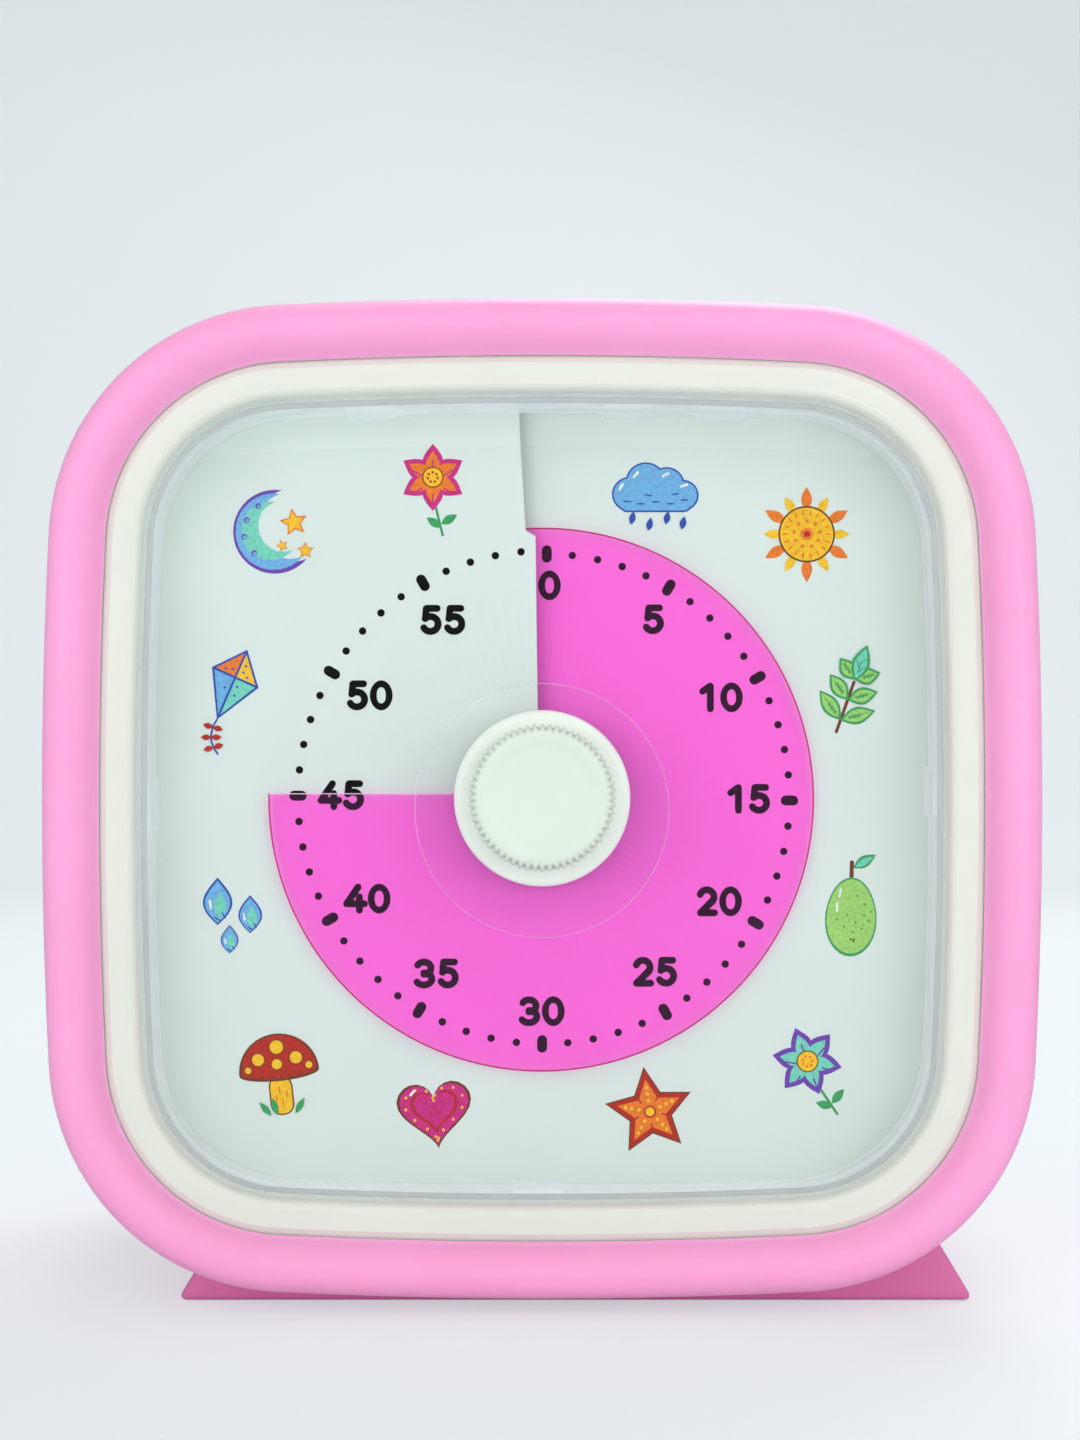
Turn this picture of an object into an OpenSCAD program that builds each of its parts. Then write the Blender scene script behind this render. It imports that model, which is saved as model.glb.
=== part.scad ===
// Square visual countdown timer in a soft sleeve: clear front, slit dial card, a film disc that
// winds through the slit, centre knob, wheel train, alarm board and one cell behind a rear door.
// Drawing frame: x to the right, y up, z towards the viewer, zero on the knob's axis at the mean
// plane of the dial card. stand() turns it upright, with the foot on z = 0 and depth along y.

/* [Body] */
// Width and height over the sleeve's front bead
body_w = 95; // [88:0.5:120]
// Corner radius over the sleeve, seen from the front
corner_r = 22.9; // [21:0.1:26]
// Depth of the housing from the bezel's crest to the back face
housing_depth = 42.5; // [41:0.5:52]
// Wall of the front and rear housings
shell_t = 2; // [1.6:0.1:2.4]

/* [Sleeve] */
// Wall of the soft sleeve
sleeve_t = 2.25; // [1.5:0.05:3]
// How far the front bead reaches in from the outside
bead_w = 5.6; // [5:0.1:6.2]
// How far the bead stands proud of the bezel
bead_proud = 1.8; // [1.2:0.1:3]
// How far the rear lip reaches in over the housing's back
rear_lip_w = 4.4; // [3:0.1:5]
// Width of the foot where it meets the table
foot_w = 77.5; // [66:0.5:80]
// How far the foot's middle stands right of the knob's axis
foot_shift = 3.25; // [0:0.25:4]
// How far the foot stands below the bead
foot_drop = 1.3; // [1:0.1:3]

/* [Dial] */
// Rise of the card and the film over one full turn
slit_rise = 2; // [1.6:0.1:2.6]
// Thickness of the printed dial card
card_t = 0.5; // [0.3:0.05:0.6]
// Radius of the film disc
film_r = 26.7; // [24:0.1:30]
// Thickness of the film disc
film_t = 0.3; // [0.15:0.05:0.4]
// Minutes that the film shows at rest
minutes_left = 45; // [5:1:58]

/* [Front] */
// Thickness of the clear lens
lens_t = 1.2; // [0.8:0.1:1.8]
// Width of the white bezel between the sleeve and the lens
bezel_w = 3.3; // [2.5:0.1:4]
// Radius of the loose clear washer behind the lens
washer_r = 12.3; // [10:0.1:15]

/* [Knob] */
// Radius of the knob's smooth skirt
skirt_r = 8.3; // [7.6:0.1:11]
// Radius over the knob's grip teeth
grip_r = 6.7; // [6:0.1:7.4]
// Height of the grip above the skirt
grip_h = 7.6; // [5:0.1:10]
// Number of teeth round the grip
grip_teeth = 60; // [36:1:72]

/* [Movement] */
// Radius of the steel arbor that carries the knob and the film
arbor_r = 1.5; // [1.2:0.05:2]
// Tooth module of the wheel train
gear_module = 0.3; // [0.25:0.01:0.32]
// Width of the movement's case
movement_w = 38; // [36:0.5:40]
// Height of the movement's case
movement_h = 40; // [38:0.5:42]

/* [Power] */
// Radius of the cell
cell_r = 7.25; // [6.9:0.05:7.25]
// Length of the cell's can
cell_l = 49.5; // [46:0.5:50]
// Travel of the alarm switch to each side
switch_travel = 2; // [1:0.1:2.5]

/* [Hidden] */
$fn = 96;
cut = 1;                 // overrun of every cut
fit = 0.05;              // running clearance on a radius
seat_gap = 0.2;          // gap between pieces that lie together
full_turn = 360;

// Levels from the dial outwards, towards the viewer
film_span = 372;         // degrees of film, so that its tail never leaves the slit
film_reach = film_t / 2 + slit_rise;
film_depth = film_t / 2 + slit_rise * film_span / full_turn;
flange_t = 0.8;
flange_gap = 0.3;
hub_front = film_reach + flange_gap + flange_t;
hub_back = -film_depth - flange_gap - flange_t;
washer_t = 0.3;
washer_z = hub_front + 0.3 * flange_t;
lens_air = 2.15;
lens_in = hub_front + lens_air;
lens_front = lens_in + lens_t;
bezel_rise = 0.6;
bezel_z = lens_front + bezel_rise;
bead_z = bezel_z + bead_proud;
knob_gap = 0.4;
skirt_t = 1.4;
skirt_z = lens_front + knob_gap;
knob_z = skirt_z + skirt_t + grip_h;
// Levels from the dial backwards
floor_gap = 0.4;
floor_t = 1.5;
floor_top = hub_back - floor_gap;
floor_back = floor_top - floor_t;
housing_back = bezel_z - housing_depth;
sleeve_gap = 0.25;
rear_lip_t = 1.6;
sleeve_back = housing_back - sleeve_gap - rear_lip_t;
back_t = 2.4;
part_share = 0.51;       // share of the housing's depth in front of the parting line
parting_z = bezel_z - housing_depth * part_share;
axis_h = body_w / 2 + foot_drop;
mid_depth = (knob_z + sleeve_back) / 2;

// The outline seen from the front: four corner arcs, joined by four wide side arcs that bow out
// a little. Their centres lie on a right triangle with whole-number sides, and the triangle's
// unit is rounded, so that the seams between the arcs fall on exact points
half_w = body_w / 2;
triangle_shares = [80, 1599, 1601];
unit_step = 0.001;
unit_share = triangle_shares[0] + triangle_shares[2] - triangle_shares[1];
arc_unit = round((half_w - corner_r) / unit_share / unit_step) * unit_step;
arc_c = triangle_shares[0] * arc_unit;
arc_x = triangle_shares[1] * arc_unit;
outline_r = half_w - unit_share * arc_unit;
side_r = outline_r + triangle_shares[2] * arc_unit;
quarter = 90;

// How far inside the outline each piece's edge lies
housing_in = sleeve_t + sleeve_gap;
lens_gap = 0.1;
lens_wall = 0.9;
recess_in = bead_w + bezel_w;
lens_edge_in = recess_in + lens_gap;
corner_fall = side_r * (1 - triangle_shares[1] / triangle_shares[2]);

module stand() {
    translate([0, mid_depth, axis_h]) rotate([quarter, 0, 0]) children();
}

// Sweeps a profile round the outline: x in the profile is the distance outside the outline,
// y is the level towards the viewer
module ring_sweep() {
    for (i = [0:3]) rotate(i * quarter) {
        intersection() {
            translate([arc_c, arc_c]) rotate_extrude() translate([outline_r, 0]) children();
            seam_prism([arc_c, arc_c], [[arc_x, arc_c], [arc_x + arc_c, arc_x + arc_c],
                [arc_c, arc_x]], 0.1);
        }
        intersection() {
            translate([half_w - side_r, 0]) rotate_extrude(start = -side_sweep, angle = 2 * side_sweep,
                $fn = 256) translate([side_r, 0]) children();
            seam_prism([half_w - side_r, 0], [[arc_x, -arc_c], [arc_x, arc_c]], 1.1);
        }
    }
}

// A tall prism that keeps the stretch of one arc, from the arc's centre out along its seams
side_sweep = 5;
module seam_prism(centre, ways, reach_share) {
    translate([0, 0, -body_w]) linear_extrude(2 * body_w)
        polygon(concat([centre], [for (w = ways) centre + reach_share * w]));
}

// A plate whose edge follows the outline, inset by the given distance
plate_core = 1;
module outline_plate(inset, low, high) {
    ring_sweep() translate([plate_core - outline_r, low])
        square([outline_r - inset - plate_core, high - low]);
    middle = 2 * (half_w - outline_r) + 3 * plate_core;
    block(middle, middle, low, high);
}

// A box centred in x and y, between two levels
module block(size_x, size_y, low, high) {
    translate([-size_x / 2, -size_y / 2, low]) cube([size_x, size_y, high - low]);
}

// A round post or hole between two levels
module post(r, low, high) {
    translate([0, 0, low]) cylinder(r = r, h = high - low);
}

module at(p) { translate([p[0], p[1], 0]) children(); }

// Points on an ellipse's arc
function ellipse_arc(cx, cy, rx, ry, from, to, n) = [
    for (i = [0:n]) let (a = from + (to - from) * i / n) [cx + rx * cos(a), cy + ry * sin(a)]
];

// ---- Sleeve
bead_crest_in = bead_w / 2;
bead_base_z = bead_z - 1.3 * bead_crest_in;
lip_tip_a = 154;         // where the bead's curve ends at the inner edge of the lip
neck_in = 0.5;
rear_round = 2;
rear_outer_r = housing_in + rear_round - neck_in;
lip_face_z = bezel_z - bezel_rise;
module sleeve_profile() {
    polygon(concat(
        ellipse_arc(-bead_crest_in, bead_base_z, bead_crest_in, bead_z - bead_base_z,
            0, lip_tip_a, 12),
        ellipse_arc(-bead_w, lip_face_z - front_round + seat_gap, front_round + sleeve_gap,
            front_round, quarter, 0, 6),
        ellipse_arc(-housing_in - rear_round, housing_back + rear_round - sleeve_gap,
            rear_round + sleeve_gap, rear_round, 0, -quarter, 5),
        [[-housing_in - rear_lip_w, housing_back - sleeve_gap],
         [-housing_in - rear_lip_w, sleeve_back + rear_lip_t / 3],
         [rear_lip_t / 3 - housing_in - rear_lip_w, sleeve_back]],
        ellipse_arc(-housing_in - rear_round, sleeve_back + rear_outer_r, rear_outer_r,
            rear_outer_r, -quarter, 0, 8),
        [[-neck_in, bead_base_z - 2 * bead_crest_in]]
    ));
}

// The foot: a flat base behind the bead, with flared ends
foot_flare_share = 0.6;
foot_flare_h = 10;
foot_front = bead_base_z - 0.8 * bead_crest_in;
foot_back = sleeve_back + 2 * rear_round;
foot_edge = 1;
module foot() {
    bottom = -half_w - foot_drop;
    translate([foot_shift, 0, 0]) difference() {
        intersection() {
            translate([0, 0, foot_back]) linear_extrude(foot_front - foot_back) polygon([
                [-foot_w / 2 + foot_edge, bottom], [foot_w / 2 - foot_edge, bottom],
                [foot_w / 2, bottom + foot_edge],
                [foot_w / 2 - foot_flare_share * foot_flare_h, bottom + foot_flare_h],
                [-foot_w / 2 + foot_flare_share * foot_flare_h, bottom + foot_flare_h],
                [-foot_w / 2, bottom + foot_edge]
            ]);
            translate([-foot_w / 2 - cut, 0, 0]) rotate([quarter, 0, quarter])
                linear_extrude(foot_w + 2 * cut) polygon([
                    [bottom, foot_back + foot_edge], [bottom, foot_front - foot_edge],
                    [bottom + foot_edge, foot_front], [bottom + foot_flare_h + cut, foot_front],
                    [bottom + foot_flare_h + cut, foot_back], [bottom + foot_edge, foot_back]
                ]);
        }
        translate([-foot_shift, 0, 0])
            outline_plate(neck_in + sleeve_t / 2, foot_back - cut, foot_front + cut);
    }
}

module sleeve() {
    color("hotpink") {
        ring_sweep() sleeve_profile();
        foot();
    }
}

// ---- Front housing
front_round = bead_w - housing_in;
bezel_edge = 0.8;
tray_in = recess_in + shell_t;
card_seat = 0.1;
rest_r = 1;
rest_count = 12;
tongue_t = 0.9;
tongue_h = 2;
boss_r = 3;
boss_x = half_w - housing_in - shell_t - tongue_t - 2 * seat_gap - corner_fall - boss_r;
boss_shares = [-0.25, 0.42];   // screw places up and down, as shares of half the body's width
screw_r = 1.1;
pilot_gap = 0.03;
hub_well_r = 9.2;
module front_profile() {
    polygon(concat(
        [[-housing_in, parting_z]],
        ellipse_arc(-bead_w, lip_face_z - front_round, front_round, front_round, 0, quarter, 8),
        [[-bead_w - bezel_edge, bezel_z]],
        ellipse_arc(-recess_in + bezel_edge, bezel_z - bezel_edge, bezel_edge, bezel_edge,
            quarter, 2 * quarter, 4),
        [[-recess_in, floor_top], [-tray_in, floor_top], [-tray_in, floor_back],
         [-recess_in + shell_t, floor_back],
         [-recess_in + shell_t, lip_face_z - shell_t - front_round],
         [-housing_in - shell_t, lip_face_z - 2 * shell_t - front_round],
         [-housing_in - shell_t, parting_z]]
    ));
}

function card_height(a) = slit_rise * (a / full_turn - 0.5);
function on_dial(r, a) = [r * sin(a), r * cos(a)];

// Posts under the card, whose tops follow its rise
module card_rests() {
    ring_r = (film_r + card_half) / 2;
    for (i = [0:rest_count - 1]) let (a = (i + 0.5) * full_turn / rest_count)
        at(on_dial(ring_r, a))
            post(rest_r, floor_top - floor_t / 2, card_height(a) - card_t / 2 - card_seat);
}

module at_bosses() {
    for (x = [-1, 1], y = boss_shares) translate([x * boss_x, y * half_w]) children();
}

module front_housing() {
    color("ivory") difference() {
        union() {
            ring_sweep() front_profile();
            outline_plate(recess_in + shell_t / 2, floor_back, floor_top);
            card_rests();
            at_bosses() post(boss_r, parting_z, floor_top - floor_t / 2);
            at_movement_screws() post(boss_r - shell_t / 2, movement_front, floor_back + floor_t / 2);
            at([0, 0]) post(arbor_r + shell_t, movement_front + seat_gap, floor_back + floor_t / 2);
        }
        post(arbor_r + fit, movement_front - cut, lens_in);
        post(hub_well_r, floor_top - floor_gap / 2, lens_in);
        at_bosses() post(screw_r + pilot_gap, parting_z - cut, floor_back);
        at_movement_screws() post(screw_r + pilot_gap, movement_front - cut, floor_back);
    }
}

// ---- Clear lens: a shallow tray with a stepped edge and snap tabs
lens_step = 0.5;
lens_step_in = 0.75;
card_air = 0.35;         // clearance between the card and the lens's wall
lens_wall_z = card_height(full_turn) + card_t / 2 + card_air;
lens_rim = 4;
lens_hole_r = 4.6;
tab_w = 4.8;
tab_t = 0.4;
// Snap tabs on each side, as shares of half the lens's width: top, left, bottom, right
tab_shares = [[-0.44, 0.22, 0.46], [-0.02], [0.01], [-0.02]];
lens_half = half_w - lens_edge_in;
module lens_profile() {
    polygon([
        [-lens_edge_in, lens_wall_z], [-lens_edge_in, lens_front - lens_step],
        [-lens_edge_in - lens_step_in, lens_front - lens_step],
        [-lens_edge_in - lens_step_in, lens_front - 0.4 * lens_step],
        [-lens_edge_in - 1.4 * lens_step_in, lens_front],
        [-lens_edge_in - lens_rim, lens_front], [-lens_edge_in - lens_rim, lens_in],
        [-lens_edge_in - lens_wall, lens_in], [-lens_edge_in - lens_wall, lens_wall_z]
    ]);
}

module lens_tabs() {
    for (side = [0:3]) rotate(side * quarter) for (s = tab_shares[side])
        translate([0, half_w - side_r]) rotate(-asin(s * lens_half / side_r))
            translate([-tab_w / 2, side_r - lens_edge_in - lens_wall - tab_t, lens_wall_z])
                cube([tab_w, lens_wall / 2 + tab_t, lens_in + lens_t / 2 - lens_wall_z]);
}

module clear_lens() {
    color("lightcyan", 0.4) difference() {
        union() {
            ring_sweep() lens_profile();
            outline_plate(lens_edge_in + lens_rim / 2, lens_in, lens_front);
            lens_tabs();
        }
        post(lens_hole_r, lens_in - cut, lens_front + cut);
    }
}

// ---- Dial card: one printed sheet, slit from the hub to its top edge, that rises by slit_rise
// over a full turn, so that its left edge lies over the film and its right edge under it
card_half = half_w - recess_in - corner_fall - seat_gap;
card_corner_r = outline_r - recess_in;
card_hole_r = 6;
card_steps = 96;
slit_in = 0.64;          // the slit's inner stretch lies this far left of the centre
slit_out = 1.6;          // its outer stretch, beyond the notch
slit_top = 2.3;          // and where it meets the top edge
notch_share = 0.962;     // the notch, as a share of the film's radius
notch_h = 0.6;
function card_edge(a) = let (
    s = abs(sin(a)), c = abs(cos(a)), k = card_half - card_corner_r, b = k * (s + c),
    flat = card_half / max(s, c)
) (flat * min(s, c) <= k) ? flat : b + sqrt(b * b - 2 * k * k + card_corner_r * card_corner_r);
function card_rows(a) = [card_hole_r, film_r * notch_share, film_r * notch_share + notch_h,
    card_edge(a)];
slit_x = [-slit_in, -slit_in, -slit_out, -slit_top];
function slit_y(j) = (j == 3) ? card_half : sqrt(pow(card_rows(0)[j], 2) - pow(slit_x[j], 2));
function card_column(i) = let (a = i * full_turn / card_steps) [
    for (j = [0:3]) (i == 0 || i == card_steps)
        ? let (lean = atan2(slit_x[j], slit_y(j))) [slit_x[j], slit_y(j), card_height(a + lean)]
        : [card_rows(a)[j] * sin(a), card_rows(a)[j] * cos(a), card_height(a)]
];

// Closes a sheet of columns of points into a solid of the given thickness
module thick_sheet(columns, thickness) {
    n = len(columns) - 1;
    m = len(columns[0]);
    top = [for (col = columns) for (p = col) [p[0], p[1], p[2] + thickness / 2]];
    low = [for (p = top) [p[0], p[1], p[2] - thickness]];
    shift = len(top);
    upper = [for (i = [0:n - 1]) for (j = [0:m - 2]) let (p = i * m + j)
        each [[p, p + 1, p + m + 1], [p, p + m + 1, p + m]]];
    lower = [for (f = upper) [f[2] + shift, f[1] + shift, f[0] + shift]];
    rims = [for (i = [0:n - 1]) for (j = [0, m - 1]) let (p = i * m + j, q = p + m)
        each (j == 0) ? [[p, q, q + shift], [p, q + shift, p + shift]]
            : [[q, p, p + shift], [q, p + shift, q + shift]]];
    ends = [for (i = [0, n]) for (j = [0:m - 2]) let (p = i * m + j, q = p + 1)
        each (i == 0) ? [[q, p, p + shift], [q, p + shift, q + shift]]
            : [[p, q, q + shift], [p, q + shift, p + shift]]];
    polyhedron(concat(top, low), concat(upper, lower, rims, ends));
}

module dial_card() {
    color("whitesmoke") thick_sheet([for (i = [0:card_steps]) card_column(i)], card_t);
}

// ---- Film disc: it rises like the card, half a rise above it, so a turn with the same rise
// carries it along the card and through the slit
film_hole_r = 5.5;
film_steps = 93;
film_lead = full_turn * minutes_left / 60;
module film_disc() {
    color("hotpink", 0.7) thick_sheet([
        for (i = [0:film_steps]) let (a = film_lead - film_span + film_span * i / film_steps) [
            for (r = [film_hole_r, film_r])
                [r * sin(a), r * cos(a), slit_rise * a / full_turn]
        ]
    ], film_t);
}

// ---- Hub: a spool that carries the film, and the cap that closes it
hub_core_r = 5.2;
flange_r = 8.4;
neck_r = 3.6;
neck_z = lens_in - knob_gap;
hub_joint_z = film_reach + flange_gap;
module film_hub() {
    color("white") difference() {
        union() {
            post(flange_r, hub_back, hub_back + flange_t);
            post(hub_core_r, hub_back, hub_joint_z);
        }
        post(arbor_r + fit / 2, hub_back - cut, hub_joint_z + cut);
    }
}

module hub_cap() {
    color("white") difference() {
        union() {
            post(flange_r, hub_joint_z + fit, hub_front);
            post(neck_r, hub_joint_z + fit, neck_z);
        }
        post(arbor_r + fit / 2, hub_joint_z - cut, neck_z + cut);
    }
}

// The washer hangs on the hub's neck, so it lies below the centre
washer_drop = 1.2;
module clear_washer() {
    color("lightcyan", 0.3) translate([0, -washer_drop + fit]) difference() {
        post(washer_r, washer_z, washer_z + washer_t);
        post(neck_r + washer_drop, washer_z - cut, washer_z + washer_t + cut);
    }
}

// ---- Knob
stem_r = 4;
tooth_depth = 0.45;
crown_in = 0.9;
crown_h = 0.7;
dish_depth = 0.25;
dish_in = 1.2;
arbor_top = knob_z - 3 * crown_h;
function tooth_ring(r, depth, n) = [
    for (i = [0:n - 1]) for (k = [[-0.34, 1], [-0.14, 0], [0.14, 0], [0.34, 1]])
        let (a = (i + k[0]) * full_turn / n, q = r - depth * k[1]) [q * sin(a), q * cos(a)]
];
module knob() {
    color("white") difference() {
        union() {
            rotate_extrude() polygon([
                [0, neck_z + fit], [stem_r, neck_z + fit], [stem_r, skirt_z],
                [skirt_r - 0.2 * skirt_t, skirt_z], [skirt_r, skirt_z + 0.2 * skirt_t],
                [skirt_r, skirt_z + 0.5 * skirt_t], [skirt_r - 0.3 * skirt_t, skirt_z + 0.9 * skirt_t],
                [skirt_r - 0.6 * skirt_t, skirt_z + skirt_t], [0, skirt_z + skirt_t]
            ]);
            translate([0, 0, skirt_z + skirt_t / 2]) linear_extrude(grip_h - crown_h + skirt_t / 2)
                polygon(tooth_ring(grip_r, tooth_depth, grip_teeth));
            rotate_extrude() polygon(concat(
                [[0, knob_z - crown_h - tooth_depth]],
                ellipse_arc(grip_r - tooth_depth - crown_in, knob_z - crown_h, crown_in, crown_h,
                    0, quarter, 6),
                [[grip_r - tooth_depth - crown_in - dish_in, knob_z - dish_depth],
                 [0, knob_z - dish_depth]]
            ));
        }
        post(arbor_r + fit / 2, neck_z - cut, arbor_top);
    }
}

// ---- Movement: two case halves round the wheel train
movement_gap = 1;
movement_front = floor_back - movement_gap;
base_t = 1.6;
base_back = movement_front - base_t;
wheel_air = 0.8;
wheel_t = 0.8;
level_gap = 0.9;
case_wall = 1.2;
wheel_front = base_back - wheel_air;
wheel_back = wheel_front - wheel_t;
second_front = wheel_back - level_gap;
second_back = second_front - wheel_t;
motor_front = second_back - level_gap;
motor_h = 3.2;
motor_back = motor_front - motor_h;
case_inner_back = motor_back - seat_gap;
case_back = case_inner_back - case_wall;
movement_y = 4;          // the case sits above the arbor, clear of the cell
centre_teeth = 60;
pinion_teeth = 10;
idler_teeth = 40;
pressure_a = 20;
gear_play = 0.12;        // share of a tooth left as play
idler_a = 48;
motor_a = 100;
train_c = gear_module * (centre_teeth + pinion_teeth) / 2;
motor_c = gear_module * (idler_teeth + pinion_teeth) / 2;
idler_at = [train_c * cos(idler_a), train_c * sin(idler_a)];
motor_at = [idler_at[0] + motor_c * cos(motor_a), idler_at[1] + motor_c * sin(motor_a)];
pin_r = 0.6;
bearing_r = 1.8;
bearing_h = 1;

function involute_lean(r, base_r) = (r <= base_r) ? 0
    : let (p = acos(base_r / r)) tan(p) * 180 / PI - p;
function flank(n, m, r) = let (base_r = m * n / 2 * cos(pressure_a))
    quarter / n * (1 - gear_play) + involute_lean(m * n / 2, base_r)
        - involute_lean(r, base_r);
function gear_outline(n, m) = let (
    radii = [for (s = [-1.25, -0.7, -0.2, 0.3, 0.85]) m * n / 2 + s * m],
    rise = [for (r = radii) [-flank(n, m, r), r]],
    fall = [for (k = [4:-1:0]) [flank(n, m, radii[k]), radii[k]]]
) [for (i = [0:n - 1]) for (q = concat(rise, fall)) let (a = i * full_turn / n + q[0])
    [q[1] * cos(a), q[1] * sin(a)]];
module gear(n, low, high, turn) {
    translate([0, 0, low]) rotate(turn) linear_extrude(high - low)
        polygon(gear_outline(n, gear_module));
}

// A wheel turned so that a gap faces its neighbour's tooth on the line between them
centre_turn = 0;
idler_pinion_turn = idler_a + full_turn / 2 - half_pitch(pinion_teeth)
    + centre_teeth / pinion_teeth * idler_a;
idler_turn = motor_a;
motor_turn = motor_a + full_turn / 2 - half_pitch(pinion_teeth);
function half_pitch(n) = full_turn / n / 2;

module at_movement_screws() {
    for (p = [[-1, -1], [-1, 1], [1, -1]])
        translate([p[0] * movement_w * 0.42, movement_y + p[1] * movement_h * 0.42]) children();
}

module movement_base() {
    color("lightgray") difference() {
        union() {
            translate([0, movement_y]) block(movement_w, movement_h, base_back, movement_front - fit);
            at(idler_at) post(bearing_r, base_back - wheel_air / 2, base_back + base_t / 2);
        }
        post(arbor_r + shell_t + seat_gap, base_back - cut, movement_front + cut);
        at(idler_at) post(pin_r + fit, base_back - wheel_air, movement_front + cut);
        at(motor_at) post(pin_r + fit, base_back - cut, movement_front + cut);
        at_movement_screws() post(screw_r + pilot_gap, base_back - cut, movement_front + cut);
    }
}

module movement_cover() {
    color("gainsboro") difference() {
        union() {
            translate([0, movement_y]) difference() {
                block(movement_w, movement_h, case_back, base_back - fit);
                block(movement_w - 2 * case_wall, movement_h - 2 * case_wall, case_inner_back,
                    base_back + cut);
            }
            at_movement_screws() post(boss_r, case_back, base_back - fit);
            post(arbor_r + shell_t, case_back, case_inner_back + bearing_h);
            at(idler_at) post(bearing_r, case_back, second_back - level_gap / 2);
        }
        post(arbor_r + fit, case_back + case_wall / 2, base_back);
        at(idler_at) post(pin_r + fit, case_back + case_wall / 2, base_back);
        at_movement_screws() {
            post(screw_r + pilot_gap, case_back - cut, base_back + cut);
            post(screw_head_r + seat_gap, case_back - cut, case_back + screw_head_h + 2 * fit);
        }
    }
}

collar_w = 0.6;
collar_t = 0.4;
collar_gap = 0.1;
collar_top = second_front + collar_gap + collar_t;
module arbor() {
    color("silver") {
        post(arbor_r, case_back + 0.75 * case_wall, arbor_top - seat_gap);
        post(arbor_r + collar_w, second_front + collar_gap, collar_top);
    }
}

wheel_hub_r = 2.6;
module centre_wheel() {
    color("goldenrod") difference() {
        union() {
            gear(centre_teeth, wheel_back, wheel_front, centre_turn);
            post(wheel_hub_r, wheel_back, wheel_front + wheel_air / 2);
        }
        post(arbor_r + fit, wheel_back - cut, wheel_front + wheel_air);
    }
}

// The clutch spring: a shallow cone between the arbor's collar and the wheel
spring_h = level_gap - collar_gap - collar_t - 3 * fit;
spring_lip = 0.01;
module clutch_spring() {
    color("silver") translate([0, 0, collar_top + fit]) rotate_extrude() polygon([
        [arbor_r + fit, 0], [arbor_r + collar_w, 0], [wheel_hub_r + collar_w, spring_h],
        [wheel_hub_r, spring_h + spring_lip]
    ]);
}

module idler_wheel() {
    color("white") at(idler_at) {
        gear(pinion_teeth, second_front - wheel_t / 2, wheel_front + wheel_air / 4, idler_pinion_turn);
        gear(idler_teeth, second_back, second_front, idler_turn);
        post(pin_r, case_back + 0.75 * case_wall, movement_front - base_t / 4);
    }
}

module motor_pinion() {
    color("white") at(motor_at) {
        gear(pinion_teeth, second_back - level_gap / 2, second_front + level_gap / 2, motor_turn);
        post(pin_r, motor_front - motor_h / 2, movement_front - base_t / 4);
    }
}

motor_can_r = 4.6;
module motor_can() {
    color("silver") at(motor_at) difference() {
        union() {
            post(motor_can_r, motor_back, motor_front);
            post(bearing_r, motor_back, motor_front + level_gap / 4);
        }
        post(pin_r + fit, motor_front - 0.6 * motor_h, motor_front + cut);
    }
}

// The cam on the arbor closes the alarm's contact at zero
cam_r = 4;
cam_notch = 0.8;
cam_front = motor_front;
cam_t = 1;
module zero_cam() {
    color("white") difference() {
        post(cam_r, cam_front - cam_t, cam_front);
        post(arbor_r + fit / 2, cam_front - cam_t - cut, cam_front + cut);
        rotate(-film_lead) translate([0, cam_r])
            post(cam_notch, cam_front - cam_t - cut, cam_front + cut);
    }
}

leaf_t = 0.25;
leaf_l = 16;
leaf_gap = 0.35;
module contact_leaves() {
    color("gold") for (k = [0, 1]) translate([-cam_r - leaf_gap - leaf_t - k * 3 * leaf_t, -leaf_l / 2,
        cam_front - cam_t]) {
        cube([leaf_t, leaf_l, cam_t]);
        translate([0, 0, case_inner_back + fit - cam_front + cam_t])
            cube([leaf_t, 2 * cam_t, cam_front - case_inner_back - fit]);
    }
}

// ---- Screws
screw_head_r = 2.1;
screw_head_h = 1.3;
slot_w = 0.5;
// A pan-head screw: its head's outer face at the low level, its shank up to the high level
module screw(low, high) {
    difference() {
        union() {
            post(screw_head_r, low, low + screw_head_h);
            post(screw_r, low, high);
        }
        for (a = [0, quarter]) rotate(a)
            block(1.3 * screw_head_r, slot_w, low - cut, low + screw_head_h / 2);
    }
}

module movement_screws() {
    color("silver") at_movement_screws() screw(case_back + fit, floor_back - floor_t / 4);
}

sink_depth = 12;         // how deep the housing screws sit below the back
module housing_screws() {
    color("silver") at_bosses() screw(housing_back + sink_depth, floor_back - 3 * floor_t);
}

// ---- Rear housing, with the cell's tray
cell_gap = 0.5;
cell_y = -0.5 * half_w;
spring_l = 5;
contact_l = 1.2;
nub_l = 1;
nub_r = 2.75;
tray_l = cell_l + nub_l + spring_l + contact_l;
tray_h = 2 * (cell_r + cell_gap);
tray_t = 1.2;
door_margin = 2;
door_t = 1.4;
door_l = tray_l + 2 * door_margin;
door_h = tray_h + 2 * door_margin;
door_gap = 0.3;
door_in = housing_back + door_t;
cell_z = door_in + seat_gap + cell_gap + cell_r;
tray_front = cell_z + cell_r + cell_gap;
tab_at_share = 0.3;
hook_w = 6;
hook_l = 1.6;
hook_t = 1.2;
hook_back = housing_back + back_t + seat_gap;
hook_pocket = hook_back + hook_t + 0.9;
latch_w = 9;
latch_t = 1.1;
latch_l = 2.4;
board_w = 1.12 * half_w;
board_h = 20;
board_t = 1.2;
board_y = 0.55 * half_w;
buzzer_h = 9.4;
board_z = housing_back + back_t + seat_gap + buzzer_h;
board_post_r = 2.4;
switch_x = -0.36 * board_w;
buzzer_x = 0.24 * board_w;
buzzer_r = 7;
grille_r = 0.8;
grille_ring = 3.6;
slider_w = 3;
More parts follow.
